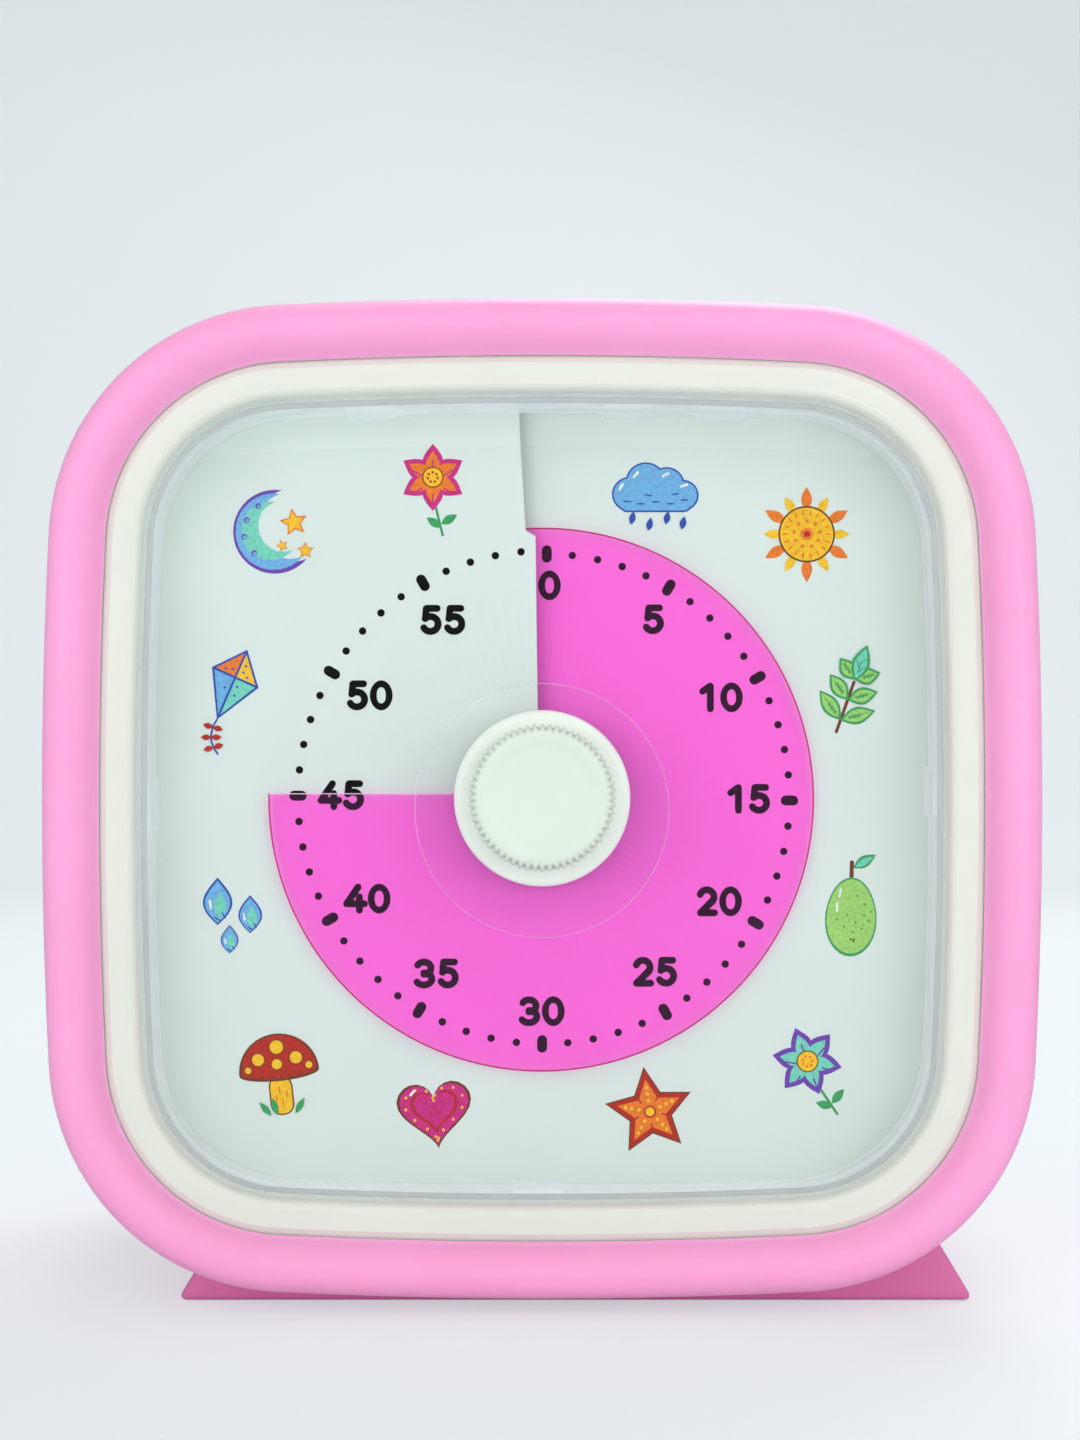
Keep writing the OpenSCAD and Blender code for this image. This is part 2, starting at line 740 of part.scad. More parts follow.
slider_h = 4;
slot_gap = 0.3;

module at_board_posts() {
    for (x = [-1, 1]) translate([x * (board_w / 2 - 3 * screw_r), board_y + board_h / 2 - 3 * screw_r])
        children();
}

module rear_profile() {
    polygon(concat(
        [[-housing_in - shell_t, parting_z - seat_gap], [-housing_in, parting_z - seat_gap]],
        ellipse_arc(-housing_in - rear_round, housing_back + rear_round, rear_round, rear_round,
            0, -quarter, 5),
        [[-housing_in - shell_t - rear_round, housing_back],
         [-housing_in - shell_t - rear_round, housing_back + back_t],
         [-housing_in - shell_t, housing_back + back_t]]
    ));
}

module tongue_profile() {
    translate([-housing_in - shell_t - tongue_t - seat_gap, parting_z - 2 * tongue_h])
        square([tongue_t, 3 * tongue_h]);
    translate([-housing_in - shell_t - tongue_t - seat_gap, parting_z - 2 * tongue_h])
        square([tongue_t + 2 * seat_gap, tongue_h]);
}

module rear_housing() {
    color("ivory") difference() {
        union() {
            ring_sweep() rear_profile();
            ring_sweep() tongue_profile();
            outline_plate(housing_in + shell_t + rear_round / 2, housing_back, housing_back + back_t);
            translate([0, cell_y])
                block(tray_l + 2 * tray_t, tray_h + 2 * tray_t, housing_back, tray_front + tray_t);
            at_bosses() post(boss_r, housing_back, parting_z - seat_gap);
            at_board_posts() post(board_post_r, housing_back + back_t / 2, board_z);
        }
        translate([0, cell_y]) {
            block(tray_l, tray_h, housing_back - cut, tray_front);
            block(door_l + 2 * door_gap, door_h + 2 * door_gap, housing_back - cut, door_in + fit);
            translate([0, tray_h / 2])
                block(latch_w + 2 * door_gap, 2 * door_margin - door_gap, housing_back,
                    door_in + latch_l + door_gap);
            for (x = [-1, 1]) translate([x * tab_at_share * door_l, -tray_h / 2 - door_margin])
                block(hook_w + 2 * door_gap, 2 * (hook_l + door_gap), hook_back - seat_gap, hook_pocket);
            for (x = [-1, 1]) translate([x * tab_at_share * door_l, -tray_h / 2 - door_margin / 2])
                block(hook_w + 2 * door_gap, door_margin + door_gap, door_in - fit, hook_pocket);
        }
        at_bosses() {
            post(screw_head_r + seat_gap, housing_back - cut, housing_back + sink_depth + screw_head_h + fit);
            post(screw_r + seat_gap, housing_back, parting_z + cut);
        }
        at_board_posts() post(screw_r + pilot_gap, housing_back + back_t, board_z + cut);
        translate([buzzer_x, board_y]) {
            post(grille_r, housing_back - cut, housing_back + back_t + cut);
            for (i = [0:5]) rotate(i * full_turn / 6) translate([grille_ring, 0])
                post(grille_r, housing_back - cut, housing_back + back_t + cut);
        }
        translate([switch_x, board_y]) block(slider_w + 2 * switch_travel + 2 * slot_gap,
            slider_h + 2 * slot_gap, housing_back - cut, housing_back + back_t + cut);
    }
}

// The door swings on its lower outer edge, with two hooks under the back and a latch on top
module battery_door() {
    grip_cut = 2.5;
    color("ivory") translate([0, cell_y]) difference() {
        union() {
            translate([0, door_t / 4]) block(door_l, door_h - door_t / 2, housing_back, door_in);
            translate([-door_l / 2, -door_h / 2 + door_t / 2, housing_back + door_t / 2])
                rotate([0, quarter, 0]) cylinder(r = door_t / 2, h = door_l);
            translate([0, door_h / 2 - door_margin / 2 - latch_t / 2])
                block(latch_w, latch_t, door_in - door_t / 2, door_in + latch_l);
            for (x = [-1, 1]) translate([x * tab_at_share * door_l, -door_h / 2]) {
                translate([0, door_margin / 2 + seat_gap])
                    block(hook_w, door_margin, door_in - door_t / 2, hook_back + hook_t);
                translate([0, door_margin / 2 + seat_gap - hook_l / 2])
                    block(hook_w, hook_l + door_margin, hook_back, hook_back + hook_t);
            }
        }
        translate([0, door_h / 2 - grip_cut]) for (k = [0:2]) translate([0, -k * grip_cut / 2])
            block(latch_w, grip_cut / 4, housing_back - cut, housing_back + door_t / 4);
    }
}

// ---- Cell and its contacts
module along_x(x) { translate([x, 0, cell_z]) rotate([0, quarter, 0]) children(); }
cell_x = -tray_l / 2 + spring_l;
crimp = 0.7;
module cell() {
    color("dimgray") translate([0, cell_y]) along_x(cell_x) {
        rotate_extrude() polygon([
            [0, 0], [cell_r - crimp, 0], [cell_r, crimp], [cell_r, cell_l - crimp],
            [cell_r - crimp, cell_l], [nub_r + crimp, cell_l], [nub_r, cell_l - fit],
            [nub_r, cell_l + nub_l - fit], [0, cell_l + nub_l - fit]
        ]);
    }
}

// The cell's spring: a wire wound in a cone that widens towards its plate
wire_r = 0.4;
spring_turns = 4;
spring_rings = 12;
spring_r0 = 3;
spring_r1 = 5.5;
function spring_point(t) = let (a = t * full_turn * spring_turns,
    r = spring_r1 + (spring_r0 - spring_r1) * t)
    [r * cos(a), r * sin(a), plate_t + wire_r / 2 + t * (spring_l - plate_t - 2 * wire_r - fit)];
plate_t = 0.4;
function ring_round(p, dir, r, sides) = let (
    up = [0, 0, 1], u = unit(cross(up, dir)), w = unit(cross(dir, u))
) [for (k = [0:sides - 1]) let (a = full_turn * k / sides) p + r * (cos(a) * u + sin(a) * w)];
function unit(v) = v / norm(v);

// Sweeps a round tube along points
module tube(points, r, sides) {
    last = len(points) - 1;
    rings = [for (i = [0:last])
        ring_round(points[i], unit(points[min(i + 1, last)] - points[max(i - 1, 0)]), r, sides)];
    corners = [for (ring = rings) for (p = ring) p];
    walls = [for (i = [0:last - 1]) for (k = [0:sides - 1])
        let (p = i * sides + k, q = i * sides + (k + 1) % sides)
        each [[p, q, q + sides], [p, q + sides, p + sides]]];
    front = [for (k = [1:sides - 2]) [0, k + 1, k]];
    rear = [for (k = [1:sides - 2]) [last * sides, last * sides + k, last * sides + k + 1]];
    polyhedron(corners, [for (f = concat(walls, front, rear)) [f[2], f[1], f[0]]]);
}

module cell_spring() {
    color("silver") translate([0, cell_y]) along_x(-tray_l / 2 + seat_gap / 2) {
        block(tray_h - 2 * cell_gap, tray_h - 2 * cell_gap, 0, plate_t);
        tube([for (i = [0:spring_turns * spring_rings]) spring_point(i / (spring_turns * spring_rings))],
            wire_r, 6);
    }
}

module cell_contact() {
    color("gold") translate([0, cell_y]) along_x(tray_l / 2 - plate_t - seat_gap / 2) {
        block(tray_h - 2 * cell_gap, tray_h - 2 * cell_gap, 0, plate_t);
        post(nub_r, -(contact_l - plate_t - seat_gap / 2) + 2 * fit, plate_t / 2);
    }
}

// ---- Alarm board
module circuit_board() {
    color("seagreen") difference() {
        translate([0, board_y]) block(board_w, board_h, board_z + fit, board_z + fit + board_t);
        at_board_posts() post(screw_r + pilot_gap, board_z - cut, board_z + 2 * board_t);
    }
}

board_top = board_z + 2 * fit + board_t;
chip_w = 8;
chip_t = 1.4;
can_r = 1.5;
can_l = 6;
module board_parts() {
    color("black") translate([0, board_y, board_top]) {
        block(chip_w, chip_w, 0, chip_t);
        translate([chip_w, -can_l / 2, can_r]) rotate([-quarter, 0, 0]) cylinder(r = can_r, h = can_l);
        translate([-chip_w, 0]) block(chip_w / 3, chip_w / 2, 0, chip_t / 2);
    }
}

module board_screws() {
    color("silver") at_board_posts() mirror([0, 0, 1])
        screw(-board_top - screw_head_h, -board_z + 2 * board_t);
}

switch_body_w = 12;
switch_body_h = 7;
module switch_body() {
    back = housing_back + back_t + seat_gap;
    color("dimgray") translate([switch_x, board_y]) difference() {
        block(switch_body_w, switch_body_h, back, board_z - fit);
        block(slider_w + 2 * switch_travel + 2 * slot_gap, slider_h + 2 * slot_gap, back - cut,
            back + 2 * slider_h / 3);
    }
}

slider_proud = 1.2;
module switch_slider() {
    color("white") translate([switch_x, board_y]) difference() {
        block(slider_w, slider_h, housing_back - slider_proud, housing_back + back_t + slider_h / 2);
        for (k = [-1:1]) translate([k * slider_w / 4, 0])
            block(slider_w / 10, slider_h + cut, housing_back - slider_proud - cut,
                housing_back - 0.7 * slider_proud);
    }
}

module buzzer() {
    back = housing_back + back_t + seat_gap;
    color("black") translate([buzzer_x, board_y]) difference() {
        post(buzzer_r, back, board_z - fit);
        post(grille_r, back - cut, back + 2 * grille_r);
    }
}

// ---- Leads: thin wires from the cell's contacts and between the board and the movement
lead_r = 0.55;
lead_sides = 8;
lead_steps = 14;
function bezier(p, t) = pow(1 - t, 3) * p[0] + 3 * t * pow(1 - t, 2) * p[1]
    + 3 * t * t * (1 - t) * p[2] + t * t * t * p[3];
module lead(p) {
    tube([for (i = [0:lead_steps]) bezier(p, i / lead_steps)], lead_r, lead_sides);
}

lead_z = tray_front + tray_t + 2 * lead_r;
module cell_leads() {
    out = tray_l / 2 - 2 * tray_t;
    rise = cell_y + tray_h / 2;
    low = board_y - board_h / 2 + 3 * lead_r;
    color("red") for (x = [-1, 1]) {
        end = x * board_w * 0.4;
        lead([[x * out, rise, lead_z], [x * (out + 4 * tray_t), rise + tray_h / 2, lead_z + tray_t],
            [end, low - tray_h, board_top + 3 * tray_t], [end, low, board_top + lead_r + fit]]);
    }
}

module buzzer_leads() {
    start_y = movement_y + movement_h / 2 - 3 * case_wall;
    end_y = board_y + board_h / 4;
    color("blue") for (x = [-1, 1]) {
        start = x * 2 * lead_r - movement_w / 4;
        end = x * 2 * lead_r - board_w / 4;
        lead([[start, start_y, case_back - lead_r - fit], [start, start_y + lead_r, case_back - 3 * lead_r],
            [end, end_y - 2 * lead_r, board_top + 5 * lead_r], [end, end_y, board_top + lead_r + fit]]);
    }
}

stand() sleeve();
stand() front_housing();
stand() rear_housing();
stand() clear_lens();
stand() dial_card();
stand() film_disc();
stand() clear_washer();
stand() film_hub();
stand() hub_cap();
stand() knob();
stand() arbor();
stand() zero_cam();
stand() movement_base();
stand() movement_cover();
stand() centre_wheel();
stand() clutch_spring();
stand() idler_wheel();
stand() motor_pinion();
stand() motor_can();
stand() contact_leaves();
stand() circuit_board();
stand() board_parts();
stand() switch_body();
stand() switch_slider();
stand() buzzer();
stand() cell();
stand() cell_spring();
stand() cell_contact();
stand() battery_door();
stand() housing_screws();
stand() movement_screws();
stand() board_screws();
stand() cell_leads();
stand() buzzer_leads();
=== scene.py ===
"""Square visual countdown timer in a soft pink sleeve.

Run as a script in Blender 4.5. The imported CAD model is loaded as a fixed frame, the visible
pieces are modelled on it, and every piece and CAD node gets its finish. All sizes are in metres.
The front pieces are drawn flat, as the timer's dial is seen: x to the right, y up and z towards
the viewer, with zero on the knob's axis at the middle plane of the card. stand_up() then turns
them to where they stand.
"""
import math
from contextlib import contextmanager

import bpy
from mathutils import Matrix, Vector


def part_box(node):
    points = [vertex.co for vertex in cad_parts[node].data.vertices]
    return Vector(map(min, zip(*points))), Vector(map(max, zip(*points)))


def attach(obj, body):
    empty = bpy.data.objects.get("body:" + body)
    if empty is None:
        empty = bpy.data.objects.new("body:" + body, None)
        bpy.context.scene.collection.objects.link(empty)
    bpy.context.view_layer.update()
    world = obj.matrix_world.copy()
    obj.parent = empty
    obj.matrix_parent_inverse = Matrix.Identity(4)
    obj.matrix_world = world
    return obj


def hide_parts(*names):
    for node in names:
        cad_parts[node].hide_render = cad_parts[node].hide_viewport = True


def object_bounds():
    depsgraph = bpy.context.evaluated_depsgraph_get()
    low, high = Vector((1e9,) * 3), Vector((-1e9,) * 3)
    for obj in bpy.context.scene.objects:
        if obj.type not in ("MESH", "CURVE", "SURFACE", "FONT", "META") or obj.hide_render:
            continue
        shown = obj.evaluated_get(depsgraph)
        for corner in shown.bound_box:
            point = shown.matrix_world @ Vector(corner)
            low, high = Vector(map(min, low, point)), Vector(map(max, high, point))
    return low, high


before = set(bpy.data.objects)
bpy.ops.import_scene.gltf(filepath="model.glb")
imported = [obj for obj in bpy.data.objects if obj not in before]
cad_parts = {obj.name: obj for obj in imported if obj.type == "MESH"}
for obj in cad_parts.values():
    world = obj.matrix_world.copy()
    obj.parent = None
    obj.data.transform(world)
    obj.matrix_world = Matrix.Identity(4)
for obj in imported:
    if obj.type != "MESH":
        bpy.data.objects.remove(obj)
cad_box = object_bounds()

bl_info = {
    "name": "Countdown timer",
    "version": (1, 0, 0),
    "blender": (4, 5, 0),
    "location": "View3D > Sidebar > Timer",
    "description": "Models and finishes a square visual countdown timer on its CAD frame",
    "category": "Object",
}

MM = 0.001
FULL = 2 * math.pi
AXIS_Z = 48.8 * MM
KNOB_FRONT = 16 * MM
CARD_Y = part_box("knob")[0].y + KNOB_FRONT
CARD_T = 0.5 * MM
SLIT_RISE = 2 * MM
SLIT_LEFT = 0.64 * MM
FILM_TURN = 270
# A right triangle in whole units joins the outline's corner arcs and bowed sides smoothly
SHORT_LEG, LONG_LEG, SLANT = 80, 1599, 1601


# Sizes and colours

def length(name, description, millimetres):
    return bpy.props.FloatProperty(name=name, description=description, default=millimetres * MM,
                                   unit="LENGTH", precision=5)


def colour(name, description, default):
    return bpy.props.FloatVectorProperty(name=name, description=description, default=default,
                                         subtype="COLOR", size=3, min=0, max=1)


class TimerSizes(bpy.types.PropertyGroup):
    half_width: length("Half width", "Half of the sleeve's width", cad_box[1][0] / MM)
    corner_unit: length("Corner unit", "Unit of the triangle between the arcs' centres", 0.3)
    lens_thickness: length("Lens thickness", "Thickness of the clear lens", 1.2)
    lens_wall: length("Lens wall", "Thickness of the lens's side wall", 0.9)
    bead_width: length("Bead width", "How far the sleeve's bead reaches in", 5.6)
    skirt_radius: length("Skirt radius", "Radius of the knob's smooth skirt", 8.3)
    grip_radius: length("Grip radius", "Radius over the knob's grip teeth", 6.7)
    tooth_depth: length("Tooth depth", "Depth of the grip teeth", 0.45)
    grip_teeth: bpy.props.IntProperty(name="Grip teeth", description="Teeth round the knob",
                                      default=60, min=12, max=90)
    film_radius: length("Film radius", "Outer radius of the tinted film", 26.7)
    ring_radius: length("Minute ring radius", "Radius of the ring of minute marks", 24.18)
    ring_right: length("Ring to the right", "How far right of the axis the ring is printed", 0.24)
    ring_up: length("Ring up", "How far above the axis the ring is printed", 0.07)
    dot_radius: length("Dot radius", "Radius of a minute dot", 0.37)
    bar_length: length("Bar length", "Length of a five-minute bar", 1.72)
    bar_width: length("Bar width", "Width of a five-minute bar", 0.98)
    stroke_width: length("Stroke width", "Width of the numerals' strokes", 0.68)


class TimerColours(bpy.types.PropertyGroup):
    silicone: colour("Silicone", "Soft sleeve", (1.0, 0.37, 0.67))
    # The foot's colour is deeper partly as thick silicone and partly as painted shade, since the foot stands
    # back in shadow
    foot: colour("Foot", "Solid foot of the sleeve", (0.68, 0.16, 0.385))
    ivory: colour("Ivory", "Housing and bezel", (0.745, 0.775, 0.685))
    knob: colour("Knob", "Knob's plastic", (0.69, 0.79, 0.67))
    # The skirt is paler than the knob's plastic as painted light, where the grip shades the skirt from the
    # lamps
    skirt: colour("Skirt", "Knob's smooth skirt", (0.86, 0.92, 0.84))
    card: colour("Card", "Printed dial card", (0.69, 0.785, 0.745))
    film: colour("Film", "Tint of the film, through one face", (1.0, 0.66, 0.98))
    film_gain: bpy.props.FloatProperty(name="Film gain", description="Red that the fluorescent dye adds",
                                       default=1.085, min=1, max=1.3)
    ink: colour("Ink", "Numerals and minute marks", (0.0004, 0.0006, 0.0004))


def sizes():
    return bpy.context.scene.timer_sizes


def colours():
    return bpy.context.scene.timer_colours


# Modelling helpers

def clear_choice():
    if bpy.context.object and bpy.context.object.mode != "OBJECT":
        bpy.ops.object.mode_set(mode="OBJECT")
    bpy.ops.object.select_all(action="DESELECT")


def choose(piece):
    clear_choice()
    piece.select_set(True)
    bpy.context.view_layer.objects.active = piece


@contextmanager
def editing(piece, kind="VERT", chosen="SELECT"):
    """Edit mode on one piece, with all of it or nothing chosen."""
    choose(piece)
    bpy.ops.object.mode_set(mode="EDIT")
    bpy.ops.mesh.select_mode(type=kind)
    bpy.ops.mesh.select_all(action=chosen)
    yield
    bpy.ops.object.mode_set(mode="OBJECT")


def label(piece, name):
    piece.name = name
    piece.data.name = name


def start_ring(name, points, fill="NOTHING"):
    """Adds a circle with one corner for each point, and moves its corners there."""
    clear_choice()
    bpy.ops.mesh.primitive_circle_add(vertices=len(points), radius=1, fill_type=fill)
    piece = bpy.context.object
    label(piece, name)
    for corner, point in zip(piece.data.vertices, points):
        corner.co = point
    return piece


def face_outwards(piece):
    with editing(piece):
        bpy.ops.mesh.normals_make_consistent(inside=False)


def close_up(piece, merge=1e-7):
    """Merges doubles and turns all faces outwards."""
    with editing(piece):
        bpy.ops.mesh.remove_doubles(threshold=merge)
    face_outwards(piece)


def fill_openings(piece):
    """Closes each ring of edges that is still open with one face."""
    with editing(piece, "EDGE", "DESELECT"):
        bpy.ops.mesh.select_non_manifold()
        bpy.ops.mesh.fill_holes(sides=0)


def smooth(piece, degrees):
    choose(piece)
    bpy.ops.object.shade_smooth_by_angle(angle=math.radians(degrees))


def use_modifier(piece, name, kind, **settings):
    choose(piece)
    modifier = piece.modifiers.new(name, kind)
    for key, value in settings.items():
        setattr(modifier, key, value)
    bpy.ops.object.modifier_apply(modifier=name)


def combine(piece, tool, operation):
    """Joins a tool piece to a piece or cuts it out of it, and removes the tool piece."""
    use_modifier(piece, "tool", "BOOLEAN", operation=operation, object=tool, solver="EXACT")
    choose(tool)
    bpy.ops.object.delete()


def join(name, pieces):
    clear_choice()
    for piece in pieces:
        piece.select_set(True)
    bpy.context.view_layer.objects.active = pieces[0]
    if len(pieces) > 1:
        bpy.ops.object.join()
    label(pieces[0], name)
    return pieces[0]


def stand_up(piece, body):
    """Turns a piece from the flat drawing to where it stands, and rides it on a body."""
    choose(piece)
    piece.rotation_euler = (math.pi / 2, 0, 0)
    piece.location = (0, CARD_Y, AXIS_Z)
    bpy.ops.object.transform_apply(location=True, rotation=True, scale=True)
    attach(piece, body)


def arc(cx, cy, rx, ry, first, last, steps):
    """Points on an ellipse's arc, from one angle in degrees to another."""
    turns = [math.radians(first + (last - first) * i / steps) for i in range(steps + 1)]
    return [(cx + rx * math.cos(t), cy + ry * math.sin(t)) for t in turns]


def turned(x, y, degrees):
    """A point turned round the origin against the clock."""
    t = math.radians(degrees)
    return x * math.cos(t) - y * math.sin(t), x * math.sin(t) + y * math.cos(t)


def on_dial(radius, degrees):
    """A point of the dial at a clock angle."""
    turn = math.radians(degrees)
    return radius * math.sin(turn), radius * math.cos(turn)


def open_ring(piece, count):
    """Takes out the edge between a ring's last corner and its first one."""
    with editing(piece):
        bpy.ops.object.mode_set(mode="OBJECT")
        for edge in piece.data.edges:
            edge.select = set(edge.vertices) == {0, count - 1}
        for corner in piece.data.vertices:
            corner.select = corner.index in (0, count - 1)
        bpy.ops.object.mode_set(mode="EDIT")
        bpy.ops.mesh.select_mode(type="EDGE")
        bpy.ops.mesh.delete(type="EDGE")


def grow_rings(name, rings):
    """Extrudes a ring of corners again and again, each time out to the next ring of points."""
    piece = start_ring(name, rings[0])
    count = len(rings[0])
    with editing(piece):
        for ring in rings[1:]:
            bpy.ops.mesh.extrude_edges_move()
            bpy.ops.object.mode_set(mode="OBJECT")
            for corner, point in zip(piece.data.vertices[-count:], ring):
                corner.co = point
            bpy.ops.object.mode_set(mode="EDIT")
    return piece


def spin_outline(name, profile, closed=True):
    """Spins a profile round the timer's outline: four corner arcs and four bowed sides.

    A profile point is the distance outside the outline and the level towards the viewer."""
    unit = sizes().corner_unit
    half = sizes().half_width
    centre = SHORT_LEG * unit
    lean = math.atan2(SHORT_LEG, LONG_LEG)
    corner_radius = half - (SHORT_LEG + SLANT - LONG_LEG) * unit
    side_radius = corner_radius + SLANT * unit
    points = []
    for out, level in profile:
        reach = corner_radius + out
        points.append((centre + reach * math.cos(lean), centre + reach * math.sin(lean), level))
    piece = start_ring(name, points)
    if not closed:
        open_ring(piece, len(points))
    with editing(piece):
        for quarter in range(4):
            for middle, sweep, steps in (((centre, centre), math.pi / 2 - 2 * lean, 26),
                                         ((0, half - side_radius), 2 * lean, 10)):
                bpy.ops.mesh.spin(steps=steps, angle=-sweep, center=(*turned(*middle, 90 * quarter), 0),
                                  axis=(0, 0, 1))
    # The merge closes the seam, where the eight turns have left a small gap
    close_up(piece, 1e-5)
    return piece


# Material helpers

class Look:
    """A material or a world while it is put together.

    An input takes a value or another node's output. In its name an underscore stands for a space."""

    def __init__(self, block):
        block.use_nodes = True
        self.block = block
        self.nodes = block.node_tree.nodes
        self.shader = self.nodes.get("Principled BSDF")

    def feed(self, node, **values):
        for name, value in values.items():
            self.plug(node.inputs[name.replace("_", " ")], value)

    def plug(self, socket, value):
        if isinstance(value, bpy.types.NodeSocket):
            self.block.node_tree.links.new(value, socket)
        else:
            socket.default_value = value

    def node(self, kind, *first, **named):
        """Adds a node, with its first inputs in their order and others by name."""
        node = self.nodes.new("ShaderNode" + kind)
        for socket, value in zip(node.inputs, first):
            self.plug(socket, value)
        self.feed(node, **named)
        return node

    def shade(self, **values):
        self.feed(self.shader, **values)

    def place(self):
        return self.node("TexCoord").outputs["Object"]

    def noise(self, scale, detail=3.0, rough=0.55):
        return self.node("TexNoise", self.place(), Scale=scale, Detail=detail, Roughness=rough).outputs["Fac"]

    def colour(self, source, tint, drift):
        """Lets the colour drift a little, darker and lighter, with the source."""
        ramp = self.node("ValToRGB", source)
        ends = ramp.color_ramp.elements
        for end, place, change in ((ends[0], 0.3, 1 - drift), (ends[1], 0.7, 1 + drift)):
            end.position = place
            end.color = (*(min(c * change, 1) for c in tint), 1)
        self.shade(Base_Color=ramp.outputs["Color"])

    def gloss(self, source, low, high):
        span = self.node("MapRange", source, To_Min=low, To_Max=high)
        self.shade(Roughness=span.outputs["Result"])

    def bump(self, source, height, strength):
        bump = self.node("Bump", Height=source, Strength=strength, Distance=height)
        self.shade(Normal=bump.outputs["Normal"])

    def math(self, operation, first, second):
        node = self.node("Math", first, second)
        node.operation = operation
        return node.outputs["Value"]

    def through(self, tint):
        return self.node("BsdfTransparent", (*tint, 1)).outputs["BSDF"]

    def mix(self, share, under, over):
        return self.node("MixShader", share, under, over).outputs["Shader"]

    def show(self, output):
        self.feed(self.nodes["Material Output"], Surface=output)
        return self.block


def moulded(name, tint, rough, grain=2600, depth=0.02, drift=0.02, spread=0.06, strength=0.25, **values):
    """Moulded plastic, card or rubber: fine grain, a slow drift of colour and uneven gloss.

    The grain's depth is in millimetres."""
    look = Look(bpy.data.materials.new(name))
    look.shade(IOR=1.49, **values)
    slow = look.noise(90)
    look.colour(slow, tint, drift)
    look.gloss(slow, rough - spread, rough + spread)
    look.bump(look.noise(grain, 2), depth * MM, strength)
    return look.block


def silicone(name, tint):
    """Soft matt silicone: a skin-like grain, faint flow marks and a little light inside."""
    return moulded(name, tint, 0.46, 3200, 0.015, 0.025, 0.05, 0.2, Subsurface_Weight=0.25,
                   Subsurface_Radius=(1.0, 0.35, 0.6), Subsurface_Scale=1.2 * MM, Sheen_Weight=0.15,
                   Sheen_Roughness=0.4)


def turned_metal(name, tint, rough):
    """Metal with fine drawn or turned lines."""
    look = Look(bpy.data.materials.new(name))
    look.shade(Metallic=1)
    drawn = look.node("Mapping", look.place(), Scale=(4000, 40, 40)).outputs["Vector"]
    lines = look.node("TexNoise", drawn, Scale=1, Detail=3).outputs["Fac"]
    look.colour(lines, tint, 0.08)
    look.gloss(lines, rough - 0.08, rough + 0.08)
    look.bump(lines, 0.01 * MM, 0.2)
    return look.block


def clear_plastic(name):
    """Clear moulded plastic that lets the lamps' light through to what lies behind it."""
    look = Look(bpy.data.materials.new(name))
    look.shade(Base_Color=(1, 1, 1, 1), Transmission_Weight=1, IOR=1.49)
    waves = look.noise(60, 1)
    look.gloss(waves, 0.0, 0.012)
    look.bump(waves, 0.004 * MM, 0.1)
    ray = look.node("LightPath").outputs
    either = look.math("MAXIMUM", ray["Is Shadow Ray"], ray["Is Diffuse Ray"])
    return look.show(look.mix(either, look.shader.outputs["BSDF"], look.through((0.97, 0.99, 0.98))))


def half_clear(name, share, own, tint, scale):
    """A see-through skin with a share of a body colour of its own."""
    look = Look(bpy.data.materials.new(name))
    slow = look.noise(scale, 2)
    look.colour(slow, own, 0.03)
    look.show(look.mix(share, look.through(tint), look.shader.outputs["BSDF"]))
    return look, slow


def clear_edge(name, share, own=(0.84, 0.89, 0.92), tint=(0.97, 0.98, 0.985)):
    """The edge or side of a clear moulding, shown as a thin line by a body colour of its own: pale as painted
    light that the edge gathers, dark as painted shade.
    """
    look, slow = half_clear(name, share, own, tint, 200)
    look.gloss(slow, 0.06, 0.14)
    return look.block


def tinted_film(name, tint, share):
    """Fluorescent film: a see-through sheet with a faint body colour of its own.

    Its dye turns green light into red, so it passes on a little more red than it gets."""
    glow = (tint[0] * colours().film_gain, tint[1], tint[2])
    look, _ = half_clear(name, share, [c * c for c in tint], glow, 120)
    look.shade(Roughness=0.22)
    return look.block


def printed_ink(name, tint):
    """Printing ink on card: nearly flat, with a fine speckle from the paper's tooth."""
    look = Look(bpy.data.materials.new(name))
    look.shade(Specular_IOR_Level=0.1)
    speck = look.noise(2600, 3, 0.7)
    look.colour(speck, tint, 0.16)
    look.gloss(speck, 0.45, 0.65)
    look.bump(speck, 0.005 * MM, 0.15)
    return look.block


def let_light_through(piece):
    """Clear pieces cast no shadow on the dial, neither of the lamps' light nor of the room's."""
    piece.visible_shadow = False
    piece.visible_diffuse = False


def give(piece, *materials):
    piece.data.materials.clear()
    for material in materials:
        piece.data.materials.append(material)


# The screw surface that the card and the film share

def card_level(x, y):
    """Level of the card's middle at a point of the dial: it rises clockwise from the slit.

    The slit's inner stretch lies a little left of the axis."""
    turn = math.atan2(x, y)
    if turn < 0 and (y < 0 or x < -SLIT_LEFT):
        turn += FULL
    return SLIT_RISE * (turn / FULL - 0.5)


def lay_on_card(piece, lift):
    """Lays a print on the card, a little above it, and keeps the steps between its layers."""
    for corner in piece.data.vertices:
        x, y, step = corner.co
        corner.co.z = card_level(x, y) + CARD_T / 2 + lift + step


def face_up(piece):
    """Turns over a flat print's faces that look into the card."""
    for face in piece.data.polygons:
        if face.normal.z < 0:
            face.flip()
    piece.data.update()


# Pieces

